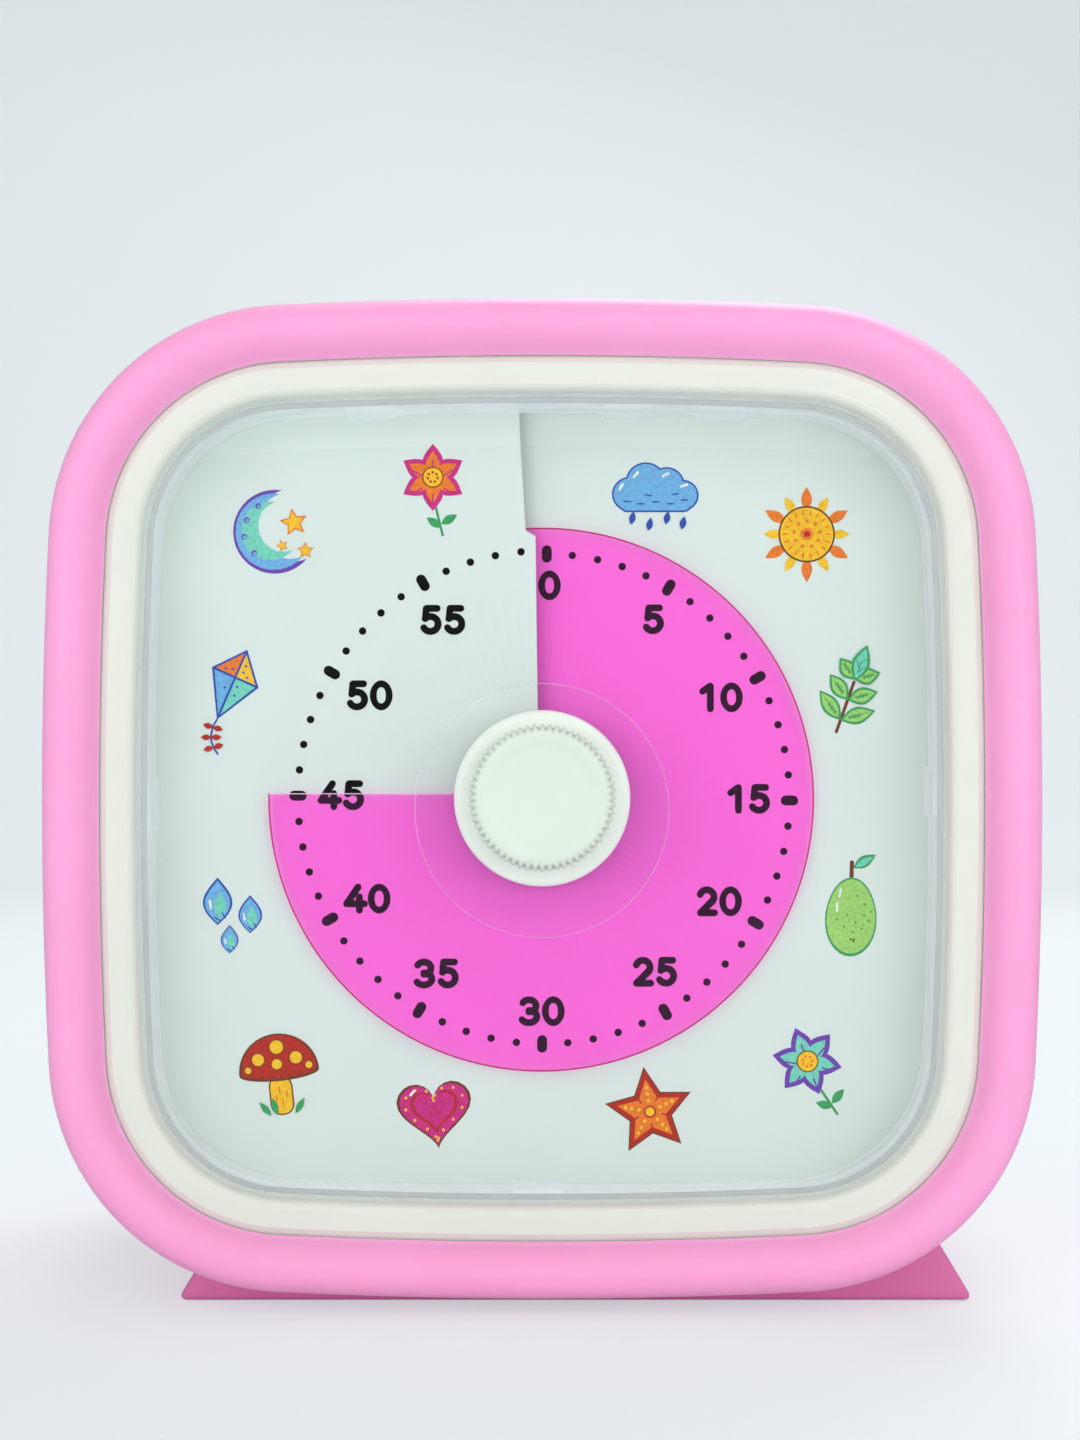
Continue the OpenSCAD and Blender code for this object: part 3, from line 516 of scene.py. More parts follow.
class TIMER_OT_sleeve(bpy.types.Operator):
    """Model the soft sleeve with its rounded front bead, rear lip and flared foot"""
    bl_idname = "timer.sleeve"
    bl_label = "Soft sleeve"

    def execute(self, context):
        bead = sizes().bead_width / MM
        crest = bead / 2
        bead_z = 9
        base_z = bead_z - 1.3 * crest
        back = (CARD_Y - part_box("sleeve")[1].y) / MM
        # In millimetres: the bead, its turned-in lip, the rear lip, its groove, the skin and its dip
        profile = arc(-crest, base_z, crest, bead_z - base_z, 0, 154, 26)
        profile += arc(-bead, 3.7, 3.35, 3.1, 90, 0, 8)
        profile += arc(-4.5, back + 3.6, 2.25, 2, 0, -90, 8)
        profile += [(-6.9, back + 1.6), (-6.9, back + 0.53), (-6.7, back + 0.15), (-6.37, back)]
        profile += arc(-4.5, back + 4, 4, 4, -90, 0, 12)
        profile += [(-0.5, base_z - 2 * bead), (-0.5, base_z - bead), (-0.3, base_z - 0.5 * bead)]
        sleeve = spin_outline("silicone_sleeve", [(out * MM, level * MM) for out, level in profile])
        # Thick silicone looks deeper than the thin wall over the white housing, and the foot's colour also
        # carries painted shade, as the foot stands back in shadow
        skins = [silicone("soft_silicone", colours().silicone), silicone("thick_silicone_painted_shade", colours().foot)]
        foot = self.make_foot((base_z - 0.8 * crest) * MM, (back + 4) * MM)
        for piece in (sleeve, foot):
            give(piece, *skins)
        for face in foot.data.polygons:
            face.material_index = 1
        combine(sleeve, foot, "UNION")
        smooth(sleeve, 40)
        stand_up(sleeve, "case")
        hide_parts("sleeve")
        return {"FINISHED"}

    def make_foot(self, front, back):
        """The flat base: a box drawn in at the top, with soft edges, cut to the sleeve's skin."""
        wide, tall, off_centre, draw_in = 77.5 * MM, 10 * MM, 3.25 * MM, 6 * MM
        skin, deep = -1.6 * MM, -14 * MM
        middle = (off_centre, tall / 2 - AXIS_Z, (front + back) / 2)
        clear_choice()
        bpy.ops.mesh.primitive_cube_add(size=1, location=middle, scale=(wide, tall, front - back))
        foot = bpy.context.object
        foot.name = "sleeve_foot"
        bpy.ops.object.transform_apply(location=True, rotation=True, scale=True)
        for corner in foot.data.vertices:
            if corner.co.y > middle[1]:
                corner.co.x -= math.copysign(draw_in, corner.co.x)
        use_modifier(foot, "soft edges", "BEVEL", width=1 * MM, segments=4, limit_method="ANGLE")
        cutter = spin_outline("foot_cutter", [(skin, front + MM), (deep, front + MM),
                                              (deep, back - MM), (skin, back - MM)])
        combine(foot, cutter, "DIFFERENCE")
        if not foot.data.polygons:
            raise RuntimeError("The foot was cut away")
        return foot


class TIMER_OT_knob(bpy.types.Operator):
    """Model the knob: a smooth skirt, a fine-toothed grip and a shallow dish on top"""
    bl_idname = "timer.knob"
    bl_label = "Knob"

    # A tooth's valley, as a share of the depth, at six even steps from crest to crest
    tooth = (0, 0.15, 0.75, 1, 0.75, 0.15)

    def execute(self, context):
        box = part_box("knob")
        top = (CARD_Y - box[0].y) / MM
        low = (CARD_Y - box[1].y) / MM
        skirt = sizes().skirt_radius / MM
        grip = sizes().grip_radius / MM
        seat = 7
        # Each ring: radius and level in millimetres, share of the tooth depth
        levels = [(1.55, low, 0), (3.98, low, 0), (4.0, seat, 0), (skirt - 0.4, seat, 0),
                  (skirt - 0.1, seat + 0.12, 0), (skirt, seat + 0.4, 0), (skirt - 0.02, seat + 0.75, 0),
                  (skirt - 0.14, seat + 1.08, 0), (skirt - 0.44, seat + 1.3, 0),
                  (skirt - 0.85, seat + 1.4, 0), (grip + 0.02, seat + 1.42, 0),
                  (grip, seat + 1.46, 0.9), (grip, seat + 1.7, 1),
                  (grip - 0.04, top - 1.4, 1), (grip - 0.1, top - 0.95, 1), (grip - 0.24, top - 0.6, 0.9),
                  (grip - 0.5, top - 0.3, 0.5), (grip - 0.85, top - 0.1, 0.12), (grip - 1.15, top - 0.02, 0),
                  (grip - 1.4, top, 0), (grip - 1.7, top - 0.06, 0), (grip - 2.1, top - 0.2, 0),
                  (grip - 2.6, top - 0.25, 0), (1.2, top - 0.25, 0)]
        knob = grow_rings("timer_knob", [self.ring(*level) for level in levels])
        fill_openings(knob)
        close_up(knob)
        give(knob, moulded("knob_moulding", colours().knob, 0.34, 2200, 0.012, 0.012, 0.05, 0.2),
             moulded("knob_skirt_painted_light", colours().skirt, 0.3, 2200, 0.008, 0.01, 0.04, 0.15))
        # The skirt's faces get the paler skirt colour, painted light that lifts the shade of the grip
        for face in knob.data.polygons:
            if face.center.z < (seat + 1.43) * MM:
                face.material_index = 1
        smooth(knob, 38)
        stand_up(knob, "dial")
        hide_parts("knob")
        return {"FINISHED"}

    def ring(self, radius, level, share):
        """A ring of corners with rounded teeth: crest, flank and valley."""
        depth = sizes().tooth_depth * share
        steps = sizes().grip_teeth * len(self.tooth)
        reaches = [radius * MM - depth * self.tooth[i % len(self.tooth)] for i in range(steps)]
        return [(*on_dial(reach, 360 * i / steps), level * MM) for i, reach in enumerate(reaches)]


class TIMER_OT_film(bpy.types.Operator):
    """Model the tinted film: a thin screw-shaped sheet that winds through the card's slit"""
    bl_idname = "timer.film"
    bl_label = "Tinted film"

    def execute(self, context):
        radius = sizes().film_radius
        span, steps, swing = 372, 248, 40
        # The film's end runs past the axis by the far lead, and its edge starts at the near one
        near, far = 0.43 * MM, 0.54 * MM
        rim = radius - (far - near)
        radii = [5.5 * MM, 9 * MM, 13 * MM, 17 * MM, 21 * MM, 24 * MM, rim, radius]
        clear_choice()
        bpy.ops.mesh.primitive_grid_add(x_subdivisions=steps, y_subdivisions=len(radii) - 1, size=1)
        film = bpy.context.object
        label(film, "tinted_film")
        for i, corner in enumerate(film.data.vertices):
            out, along = divmod(i, steps + 1)
            turn = FILM_TURN - span + span * min(along, steps - 1) / (steps - 1)
            lead = far if along == steps else near
            ahead = math.degrees(math.asin(lead / radii[out])) * max(0, turn - FILM_TURN + swing) / swing
            corner.co = (*on_dial(radii[out], turn + ahead), SLIT_RISE * turn / 360)
        face_outwards(film)
        use_modifier(film, "thickness", "SOLIDIFY", thickness=0.3 * MM, offset=0)
        close_up(film)
        give(film, tinted_film("tinted_film", colours().film, 0.015),
             tinted_film("film_edge", (0.8, 0.16, 0.5), 0.3), tinted_film("film_end_painted_highlight", (1.0, 0.85, 0.96), 0.5))
        # The film's straight end by the slit gets a pale body colour: a painted highlight along its cut edge
        for face in film.data.polygons:
            x, y, _ = face.center
            if math.hypot(x, y) > rim:
                face.material_index = 1
            elif x < 0 and near < y < far + 0.02 * MM:
                face.material_index = 2
        smooth(film, 35)
        stand_up(film, "film")
        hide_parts("film_disc")
        return {"FINISHED"}


class TIMER_OT_lens(bpy.types.Operator):
    """Model the clear lens: a shallow tray with soft edges, a hole for the knob and snap tabs"""
    bl_idname = "timer.lens"
    bl_label = "Clear lens"

    # Tabs: side counted from the top leftwards, place along the side as a share of its half
    tabs = ((0, -0.44), (0, 0.22), (0, 0.46), (1, -0.02), (2, 0.01), (3, -0.02))
    tab_size = (4.8 * MM, 0.8 * MM)

    def execute(self, context):
        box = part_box("clear_lens")
        front = (CARD_Y - box[0].y) / MM
        low = (CARD_Y - box[1].y) / MM
        inner = front - sizes().lens_thickness / MM
        edge = (box[1].x - sizes().half_width) / MM
        wall = sizes().lens_wall / MM
        middle = -20
        # In millimetres: the pane's face, its two soft edges, the wall's end and the inner corner
        profile = [(middle, front), (edge - 3.2, front), (edge - 1.1, front - 0.02)]
        profile += arc(edge - 0.75, front - 0.35, 0.3, 0.3, 80, 0, 4)
        profile += arc(edge - 0.2, front - 0.65, 0.2, 0.15, 90, 0, 4)
        profile += arc(edge - 0.2, low + 0.2, 0.2, 0.2, 0, -90, 4)
        profile += arc(edge - wall + 0.2, low + 0.2, 0.2, 0.2, -90, -180, 4)
        profile += arc(edge - wall - 0.5, inner - 0.5, 0.5, 0.5, 0, 90, 6)
        profile += [(middle, inner)]
        lens = spin_outline("clear_lens_tray", [(out * MM, level * MM) for out, level in profile], False)
        fill_openings(lens)
        close_up(lens)
        for side, share in self.tabs:
            combine(lens, self.tab((edge - wall) * MM, low * MM, inner * MM, side, share), "UNION")
        clear_choice()
        bpy.ops.mesh.primitive_cylinder_add(vertices=64, radius=4.6 * MM, depth=6 * MM,
                                            location=(0, 0, inner * MM))
        combine(lens, bpy.context.object, "DIFFERENCE")
        # The wall and its end carry pale body colours as painted light, the front rounding a dark line of
        # painted shade, and the outer corner of the wall's end a painted highlight
        give(lens, clear_plastic("clear_lens"), clear_edge("lens_wall", 0.13),
             clear_edge("lens_wall_end_painted_light", 0.7), clear_edge("lens_rim_shade", 0.55, (0.42, 0.44, 0.47)),
             clear_edge("lens_rim_light", 0.8, (0.95, 0.97, 0.98)))
        for face in lens.data.polygons:
            face.material_index = self.pick_look(face, low * MM, inner * MM, front * MM)
        let_light_through(lens)
        smooth(lens, 40)
        stand_up(lens, "case")
        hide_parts("clear_lens")
        return {"FINISHED"}

    def pick_look(self, face, low, inner, front):
        """The pane and the hole are clear; the wall, its end and its soft edges show as lines of painted
        light and painted shade.
        """
        pane, wall, wall_end, rim_shade, rim_light = range(5)
        x, y, level = face.center
        rise = face.normal.z
        if abs(rise) > 0.999 and level > inner - 0.01 * MM or max(abs(x), abs(y)) < 10 * MM:
            return pane
        if level > front - 0.34 * MM and rise > 0.05:
            return rim_shade
        if level > low + 0.22 * MM:
            return wall
        outward = face.normal.x * x + face.normal.y * y > 0
        return rim_light if outward and rise > -0.98 else wall_end

    def tab(self, inset, low, high, side, share):
        """A snap tab: a thin step on the inside of the wall."""
        bow = 455 * MM
        reach = sizes().half_width + inset
        sag = (share * reach) ** 2 / (2 * (reach + bow))
        clear_choice()
        bpy.ops.mesh.primitive_cube_add(size=1, location=(share * reach, reach - sag, (low + high) / 2),
                                        scale=(*self.tab_size, high - low + 0.4 * MM))
        tab = bpy.context.object
        bpy.ops.object.transform_apply(location=True, rotation=True, scale=True)
        for corner in tab.data.vertices:
            x, y, level = corner.co
            corner.co = (*turned(x, y, 90 * side), max(level, low))
        use_modifier(tab, "soft edges", "BEVEL", width=0.12 * MM, segments=2)
        return tab


class TIMER_OT_border(bpy.types.Operator):
    """Model the card's border, which climbs round the dial with it and ends under the lens's wall"""
    bl_idname = "timer.border"
    bl_label = "Card border"

    def execute(self, context):
        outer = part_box("clear_lens")[1].x - sizes().half_width + 0.05 * MM
        inner = outer - 1.9 * MM
        top = CARD_T / 2 - 0.02 * MM
        slit_x = -2.2 * MM
        border = spin_outline("card_border", [(outer, top), (outer, -top), (inner, -top), (inner, top)])
        corners = border.data.vertices
        cut = {corner.index for corner in corners if abs(corner.co.x) < 0.01 * MM and corner.co.y > 0}
        with editing(border, "EDGE", "DESELECT"):
            bpy.ops.object.mode_set(mode="OBJECT")
            for edge in border.data.edges:
                edge.select = cut.issuperset(edge.vertices)
            bpy.ops.object.mode_set(mode="EDIT")
            bpy.ops.mesh.edge_split()
        fill_openings(border)
        # The two ends meet at the slit, one turn of the screw apart
        corners = border.data.vertices
        on_right = {}
        for face in border.data.polygons:
            if abs(face.center.x) > 0.1 * MM:
                on_right.update({v: face.center.x > 0 for v in face.vertices})
        for corner in corners:
            x, y, z = corner.co
            if abs(x) < 0.01 * MM and y > 0:
                level = -SLIT_RISE / 2 if on_right[corner.index] else SLIT_RISE / 2
                corner.co = (slit_x, y, z + level)
            else:
                corner.co.z = z + card_level(x, y)
        face_outwards(border)
        give(border, bpy.data.materials["card_stock"])
        smooth(border, 30)
        stand_up(border, "case")
        return {"FINISHED"}


class TIMER_OT_washer(bpy.types.Operator):
    """Model the loose clear washer on the hub's neck, with a fine turned-over edge"""
    bl_idname = "timer.washer"
    bl_label = "Clear washer"

    def execute(self, context):
        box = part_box("clear_washer")
        front = CARD_Y - box[0].y
        back = CARD_Y - box[1].y
        outer = (box[1].x - box[0].x) / 2
        drop = (box[1].z + box[0].z) / 2 - AXIS_Z
        hole = 4.8 * MM
        chamfer = 0.13 * MM
        profile = [(hole, back), (hole, front), (outer - chamfer, front),
                   (outer - 0.05 * MM, front - 0.4 * (front - back)), (outer, back)]
        rings = [[(x, y, level) for x, y in arc(0, drop, radius, radius, 0, 357, 119)]
                 for radius, level in profile]
        washer = grow_rings("washer", rings + [rings[0]])
        close_up(washer)
        give(washer, clear_edge("clear_washer", 0.004, tint=(0.998, 1, 1)), clear_edge("washer_edge_painted_highlight", 0.35))
        # The chamfered rim gets a pale body colour of its own: a painted highlight along the washer's edge
        for face in washer.data.polygons:
            x, y, level = face.center
            if math.hypot(x, y - drop) > outer - 1.2 * chamfer and level > back + 0.02 * MM:
                face.material_index = 1
        let_light_through(washer)
        smooth(washer, 30)
        stand_up(washer, "case")
        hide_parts("clear_washer")
        return {"FINISHED"}


# Numerals: text, centre right of and above the knob's axis, in millimetres
NUMERALS = [
    ("0", 0.74, 21.14), ("5", 11.02, 17.76), ("10", 17.56, 10.03), ("15", 20.31, 0.0),
    ("20", 17.43, -10.1), ("25", 11.12, -17.03), ("30", -0.05, -20.89), ("35", -10.37, -17.17),
    ("40", -17.15, -9.8), ("45", -19.64, 0.35), ("50", -16.91, 10.13), ("55", -9.7, 17.5),
]
DIGIT_STEP = 2.32

# The ring of marks is printed a hair clockwise of the card, in degrees
RING_TURN = 0.55

# The digits' middle lines, in millimetres round each digit's centre
DIGITS = {
    "0": [arc(0, 0, 0.78, 1.13, 90, 450, 40)],
    "1": [[(-0.53, 0.6), (0.21, 1.11)], [(0.23, 1.11), (0.23, -1.13)]],
    "2": [arc(-0.02, 0.43, 0.7, 0.7, 160, -32, 18) + [(-0.64, -1.1)], [(-0.66, -1.13), (0.74, -1.13)]],
    "3": [arc(-0.08, 0.53, 0.7, 0.6, 150, -90, 18), arc(-0.08, -0.53, 0.78, 0.6, 90, -150, 18)],
    "4": [[(0.25, 1.13), (-0.85, -0.47)], [(-0.87, -0.5), (0.87, -0.5)], [(0.38, 0.16), (0.38, -1.13)]],
    "5": [[(0.6, 1.13), (-0.45, 1.13)], [(-0.47, 1.11), (-0.55, 0.13)],
          arc(-0.06, -0.4, 0.75, 0.73, 134, -150, 22)],
}


def stroke_outline(line, half):
    """The outline of a pen stroke with round ends along a line of points."""
    left, right = [], []
    for i, (x, y) in enumerate(line):
        before = Vector(line[max(i - 1, 0)])
        after = Vector(line[min(i + 1, len(line) - 1)])
        along = (after - before).normalized()
        stretch = half
        if 0 < i < len(line) - 1:
            bend = (Vector((x, y)) - before).normalized()
            stretch = half / max(abs(bend.dot(along)), 0.6)
        left.append((x - along.y * stretch, y + along.x * stretch))
        right.append((x + along.y * stretch, y - along.x * stretch))
    ends = []
    for near, far in ((line[-1], line[-2]), (line[0], line[1])):
        way = math.degrees(math.atan2(near[1] - far[1], near[0] - far[0]))
        ends.append(arc(near[0], near[1], half, half, way + 90, way - 90, 8)[1:-1])
    return left + ends[0] + right[::-1] + ends[1]


class TIMER_OT_numerals(bpy.types.Operator):
    """Print the minute numerals on the card, in a bold hand with round stroke ends"""
    bl_idname = "timer.numerals"
    bl_label = "Numerals"

    def execute(self, context):
        ink = printed_ink("ink_black", colours().ink)
        for text, x, y in NUMERALS:
            parts = []
            for i, digit in enumerate(text):
                left = x + (i - (len(text) - 1) / 2) * DIGIT_STEP
                for k, line in enumerate(DIGITS[digit]):
                    spots = [((left + p) * MM, (y + q) * MM) for p, q in line]
                    parts.append(self.loop(spots) if digit == "0" else self.stroke(spots, k * 0.006 * MM))
            piece = join("numeral_" + text, parts)
            give(piece, ink)
            lay_on_card(piece, 0.02 * MM)
            stand_up(piece, "case")
        return {"FINISHED"}

    def stroke(self, spots, level):
        """One open pen stroke; the strokes of a digit lie a hair above each other."""
        outline = stroke_outline(spots, sizes().stroke_width / 2)
        piece = start_ring("stroke", [(*spot, level) for spot in outline], "NGON")
        face_up(piece)
        return piece

    def loop(self, spots):
        """One closed pen stroke."""
        half = sizes().stroke_width / 2
        middle = Vector(spots[0]).lerp(Vector(spots[len(spots) // 2]), 0.5)
        rings = []
        for reach in (half, -half):
            ring = [Vector(spot) + reach * (Vector(spot) - middle).normalized() for spot in spots[:-1]]
            rings.append(start_ring("stroke", [(*spot, 0) for spot in ring]))
        piece = join("stroke", rings)
        with editing(piece, "EDGE"):
            bpy.ops.mesh.bridge_edge_loops()
        face_up(piece)
        return piece


class TIMER_OT_minutes(bpy.types.Operator):
    """Print the ring of minute dots and five-minute bars"""
    bl_idname = "timer.minutes"
    bl_label = "Minute marks"

    def execute(self, context):
        dot = sizes().dot_radius
        wide = sizes().bar_width / 2
        tall = sizes().bar_length / 2
        bar = arc(0, tall - wide, wide, wide, 0, 180, 10) + arc(0, wide - tall, wide, wide, 180, 360, 10)
        marks = []
        for minute in range(60):
            turn = minute * 6 + RING_TURN
            x, y = on_dial(sizes().ring_radius, turn)
            spot = (x + sizes().ring_right, y + sizes().ring_up)
            shape = arc(0, 0, dot, dot, 0, 345, 23) if minute % 5 else place_shape(bar, 0, 0, -turn)
            marks.append(start_ring("mark", [(*point, 0) for point in place_shape(shape, *spot)], "NGON"))
        piece = join("minute_marks", marks)
        face_up(piece)
        give(piece, bpy.data.materials["ink_black"])
        lay_on_card(piece, 0.02 * MM)
        stand_up(piece, "case")
        return {"FINISHED"}


# Flat shapes of the corner prints, in millimetres: each is an ink and an outline

def place_shape(points, cx, cy, turn=0):
    """Turns an outline and moves it to its place."""
    return [(cx + x, cy + y) for x, y in (turned(*point, turn) for point in points)]


def disc(ink, cx, cy, radius):
    return ink, arc(cx, cy, radius, radius, 0, 350, 35)


def leaf(ink, cx, cy, long, wide, turn=0):
    """A pointed leaf from its stalk end at the given place."""
    side = [(wide * math.sin(math.pi * t / 12) * (1 - 0.25 * t / 12), long * t / 12) for t in range(13)]
    return ink, place_shape(side + [(-x, y) for x, y in side[-2:0:-1]], cx, cy, turn)


def star(ink, cx, cy, outer, inner, turn=0):
    points = [on_dial(inner if i % 2 else outer, 36 * i) for i in range(10)]
    return ink, place_shape(points, cx, cy, turn)


def band(ink, cx, cy, wide, tall, turn=0, round_by=0.4):
    """A rounded bar."""
    r = min(wide, tall) * round_by
    points = []
    for sx, sy, first in ((1, 1, 0), (-1, 1, 90), (-1, -1, 180), (1, -1, 270)):
        points += arc(sx * (wide / 2 - r), sy * (tall / 2 - r), r, r, first, first + 90, 4)
    return ink, place_shape(points, cx, cy, turn)


def moon(ink, cx, cy, radius):
    outer = arc(0, 0, radius, radius, 60, 300, 24)
    inner = arc(0.42 * radius, 0, 0.8 * radius, 0.866 * radius, 276, 84, 20)
    return ink, place_shape(outer + inner[1:-1], cx, cy, 20)


def heart(ink, cy, size):
    points = []
    for i in range(36):
        t = FULL * i / 36 + 0.05
        x = 16 * math.sin(t) ** 3
        y = 13 * math.cos(t) - 5 * math.cos(2 * t) - 2 * math.cos(3 * t) - math.cos(4 * t)
        points.append((x * size / 17, y * size / 17))
    return ink, place_shape(points, 0, cy, 6)


def dashes(ink, spots, long, wide):
    """Short pen strokes: each spot is x, y and a turn in degrees."""
    return [band(ink, x, y, wide, long, turn, 0.48) for x, y, turn in spots]


def dots(ink, spots, radius):
    return [disc(ink, x, y, radius) for x, y in spots]


def round_spots(reach, count, start=0):
    """Spots spread round a circle, each turned outwards."""
    return [(*on_dial(reach, start + 360 * k / count), -start - 360 * k / count) for k in range(count)]


def turn_all(shapes, degrees):
    return [(ink, place_shape(points, 0, 0, degrees)) for ink, points in shapes]


def sun_print():
    shapes = [leaf("orange", *on_dial(1.9, k * 30), 2.0, 0.5, -k * 30) for k in range(0, 12, 2)]
    shapes += [leaf("yellow", *on_dial(1.9, k * 30), 1.6, 0.42, -k * 30) for k in range(1, 12, 2)]
    shapes += [disc("brown", 0, 0, 2.3), disc("yellow", 0, 0, 2.16)]
    shapes += dashes("orange", round_spots(1.75, 18, 10), 0.45, 0.13)
    shapes += dots("orange", [(x, y) for x, y, _ in round_spots(1.05, 9)], 0.15)
    return shapes + [disc("orange", 0, 0, 0.5), disc("red", 0, 0, 0.26)]


def cloud_print():
    shapes = []
    for ink, grow in (("blue", 0.14), ("sky", 0)):
        for x, y, r in ((-2, -0.3, 1.3), (-0.7, 0.7, 1.5), (1.0, 0.5, 1.3), (2.3, -0.4, 1.15)):
            shapes.append(disc(ink, x, y, r + grow))
        shapes.append(band(ink, 0.1, -1, 5.6 + 2 * grow, 1.3 + 2 * grow))
    shapes += dashes("blue", [(-2.2, -0.9, 90), (-1.1, -1.1, 90), (0.1, -0.95, 90), (1.3, -1.1, 90),
                              (2.4, -0.8, 90), (-0.5, -0.4, 80), (1.7, -0.3, 100)], 0.6, 0.12)
    glints = [(-1.5, 1.3, -40), (-2.7, 0.3, -30), (0.9, 1.3, -65), (2.4, 0.4, -70)]
    shapes += dashes("white", glints, 0.7, 0.2)
    drops = ((-1.9, -2.8), (-0.5, -3.3), (0.9, -2.8), (2.2, -3.2))
    return shapes + [leaf("blue", x, y, 1.1, 0.3, -12) for x, y in drops]


def flower_print(petal, inner, seed):
    shapes = [band("green", 0.5, -3.2, 0.22, 3.0, 14), leaf("green", 0.7, -3.6, 1.6, 0.42, -60),
              leaf("green", 0.7, -3.9, 1.5, 0.4, 55)]
    for ink, long, wide in ((petal, 2.9, 1.0), (inner, 2.3, 0.66)):
        shapes += [leaf(ink, 0, 0.4, long, wide, k * 60) for k in range(6)]
    shapes += dashes(petal, round_spots(1.5, 6), 0.9, 0.12)
    shapes += [disc("brown", 0, 0.4, 0.9), disc("yellow", 0, 0.4, 0.8)]
    return shapes + dots(seed, [(x, y + 0.4) for x, y, _ in round_spots(0.42, 7)], 0.11)


def leaf_print():
    shapes = [band("brown", 0, -1.8, 0.26, 4.4)]
    for k in range(3):
        y = -2.9 + 1.7 * k
        for side in (-1, 1):
            turn = -side * 55
            long = 2.9 - 0.4 * k
            shapes += [leaf("green", 0, y, long, 0.78, turn),
                       leaf("lime", side * 0.2, y + 0.14, long - 0.5, 0.55, turn),
                       leaf("green", side * 0.3, y + 0.2, long - 0.8, 0.07, turn)]
            for reach in (0.9, 1.4):
                x, up = on_dial(reach, side * 55)
                shapes += dashes("green", [(x, y + up, turn + 35), (x, y + up, turn - 35)], 0.55, 0.08)
    shapes += [leaf("green", 0, 0.4, 3.0, 0.82), leaf("mint", 0, 0.6, 2.5, 0.56)]
    veins = [(0, 1.6, 0), (0.2, 1.4, -35), (-0.2, 1.7, 35), (0.15, 2.1, -35)]
    return shapes + dashes("green", veins, 0.8, 0.08)


def mushroom_print():
    shapes = [band("brown", 0, -2.0, 1.96, 3.3, 0, 0.45), band("yellow", 0, -2.0, 1.72, 3.06, 0, 0.45)]
    shapes += dashes("orange", [(-0.4, -2.2, 0), (0.1, -2.6, 0), (0.45, -1.9, 0), (-0.1, -1.6, 0)], 0.7, 0.11)
    for ink, y, wide, top, bottom in (("brown", -0.1, 3.3, 3.2, 0.7), ("red", 0, 3.08, 2.96, 0.56)):
        shapes.append((ink, arc(0, y, wide, top, 0, 180, 24) + arc(0, y, wide, bottom, 180, 360, 16)[1:-1]))
    spots = ((-1.6, 1.1, 0.5), (0, 2.0, 0.55), (1.5, 1.0, 0.5), (-0.1, 0.6, 0.42), (2.5, 0.3, 0.28),
             (-2.5, 0.3, 0.26))
    for ink, grow in (("brown", 0.08), ("yellow", 0)):
        shapes += [disc(ink, x, y, r + grow) for x, y, r in spots]
    gills = [(x, -0.5 + 0.03 * x * x, x * 12) for x in (-2.2, -1.4, -0.6, 0.2, 1.0, 1.8)]
    shapes += dashes("brown", gills, 0.3, 0.08)
    return shapes + [leaf("green", x, -3.6, 1.5, 0.3, turn) for x, turn in ((-1, 35), (1, -35), (-0.5, 10))]


def pear_print():
    shapes = [band("brown", 0.55, 2.9, 0.35, 1.5, -12)]
    for ink, shrink in (("green", 1.0), ("lime", 0.94)):
        body = []
        for i in range(40):
            t = FULL * i / 40
            reach = shrink * (2.5 - 0.55 * math.cos(t) + 0.25 * math.cos(2 * t))
            body.append((reach * math.sin(t) * 0.92, reach * math.cos(t) * 1.18 - 0.3))
        shapes.append((ink, place_shape(body, 0, 0, -12)))
    shapes += [leaf("green", 0.7, 3.0, 2.2, 0.55, -70), leaf("mint", 0.9, 3.05, 1.7, 0.3, -70)]
    shapes += dots("green", [(-0.9, -1.6), (-0.3, -2.2), (0.5, -2.0), (1.2, -1.5), (1.5, -0.8), (0.9, -1.0),
                             (0.1, -1.4), (-1.4, -0.9), (1.1, -0.1), (0.6, 0.7), (-0.5, -0.7)], 0.09)
    shapes += dashes("white", [(-1.2, 0.1, -12), (-0.75, 1.2, -22)], 0.8, 0.2)
    return shapes + dashes("brown", [(-0.5, -2.75, 60), (-0.3, -2.85, -30)], 0.4, 0.09)


def moon_print():
    shapes = [moon("violet", 0, 0, 3.3), moon("sky", -0.1, 0, 3.0), moon("mint", -0.35, 0.05, 2.3)]
    craters = [(-2.2, 0.9), (-2.4, -0.4), (-1.6, -1.7), (-1.3, 2.0)]
    shapes += dots("violet", craters, 0.24)
    shapes += dots("sky", [(x + 0.04, y - 0.04) for x, y in craters], 0.15)
    for x, y, r, turn in ((1.5, 0.7, 1.15, 10), (2.4, -1.5, 0.7, 0), (0.6, -1.1, 0.5, 20)):
        shapes += [star("orange", x, y, r, 0.46 * r, turn), star("yellow", x, y, 0.76 * r, 0.36 * r, turn)]
    return shapes


def star_print():
    shapes = [star("brown", 0, 0, 3.75, 1.85, 8), star("red", 0, 0, 3.5, 1.72, 8),
              star("orange", 0, 0, 2.7, 1.3, 8)]
    for k in range(5):
        turn = 72 * k - 8
        shapes += dots("yellow", [on_dial(reach, turn) for reach in (0.9, 1.5, 2.0)], 0.15)
        shapes += dashes("red", [(*on_dial(1.2, turn + 36), -turn - 36)], 0.45, 0.12)
    return shapes + [disc("red", 0, 0, 0.5), disc("yellow", 0, 0, 0.36)]


def heart_print():
    shapes = [heart("brown", 0, 3.4), heart("magenta", 0, 3.15), heart("red", 0.1, 2.2),
              heart("magenta", 0.14, 1.9)]
    ink, beads = heart("yellow", 0.04, 2.68)
    shapes += dots(ink, beads[::2], 0.12)
    lines = [(-0.7, 0.7, 0), (0, 0.2, 0), (0.7, 0.8, 0), (-0.35, -0.3, 0), (0.4, -0.3, 0)]
    return shapes + dashes("red", lines, 0.42, 0.1) + dashes("white", [(-1.9, 1.5, -40)], 0.7, 0.22)


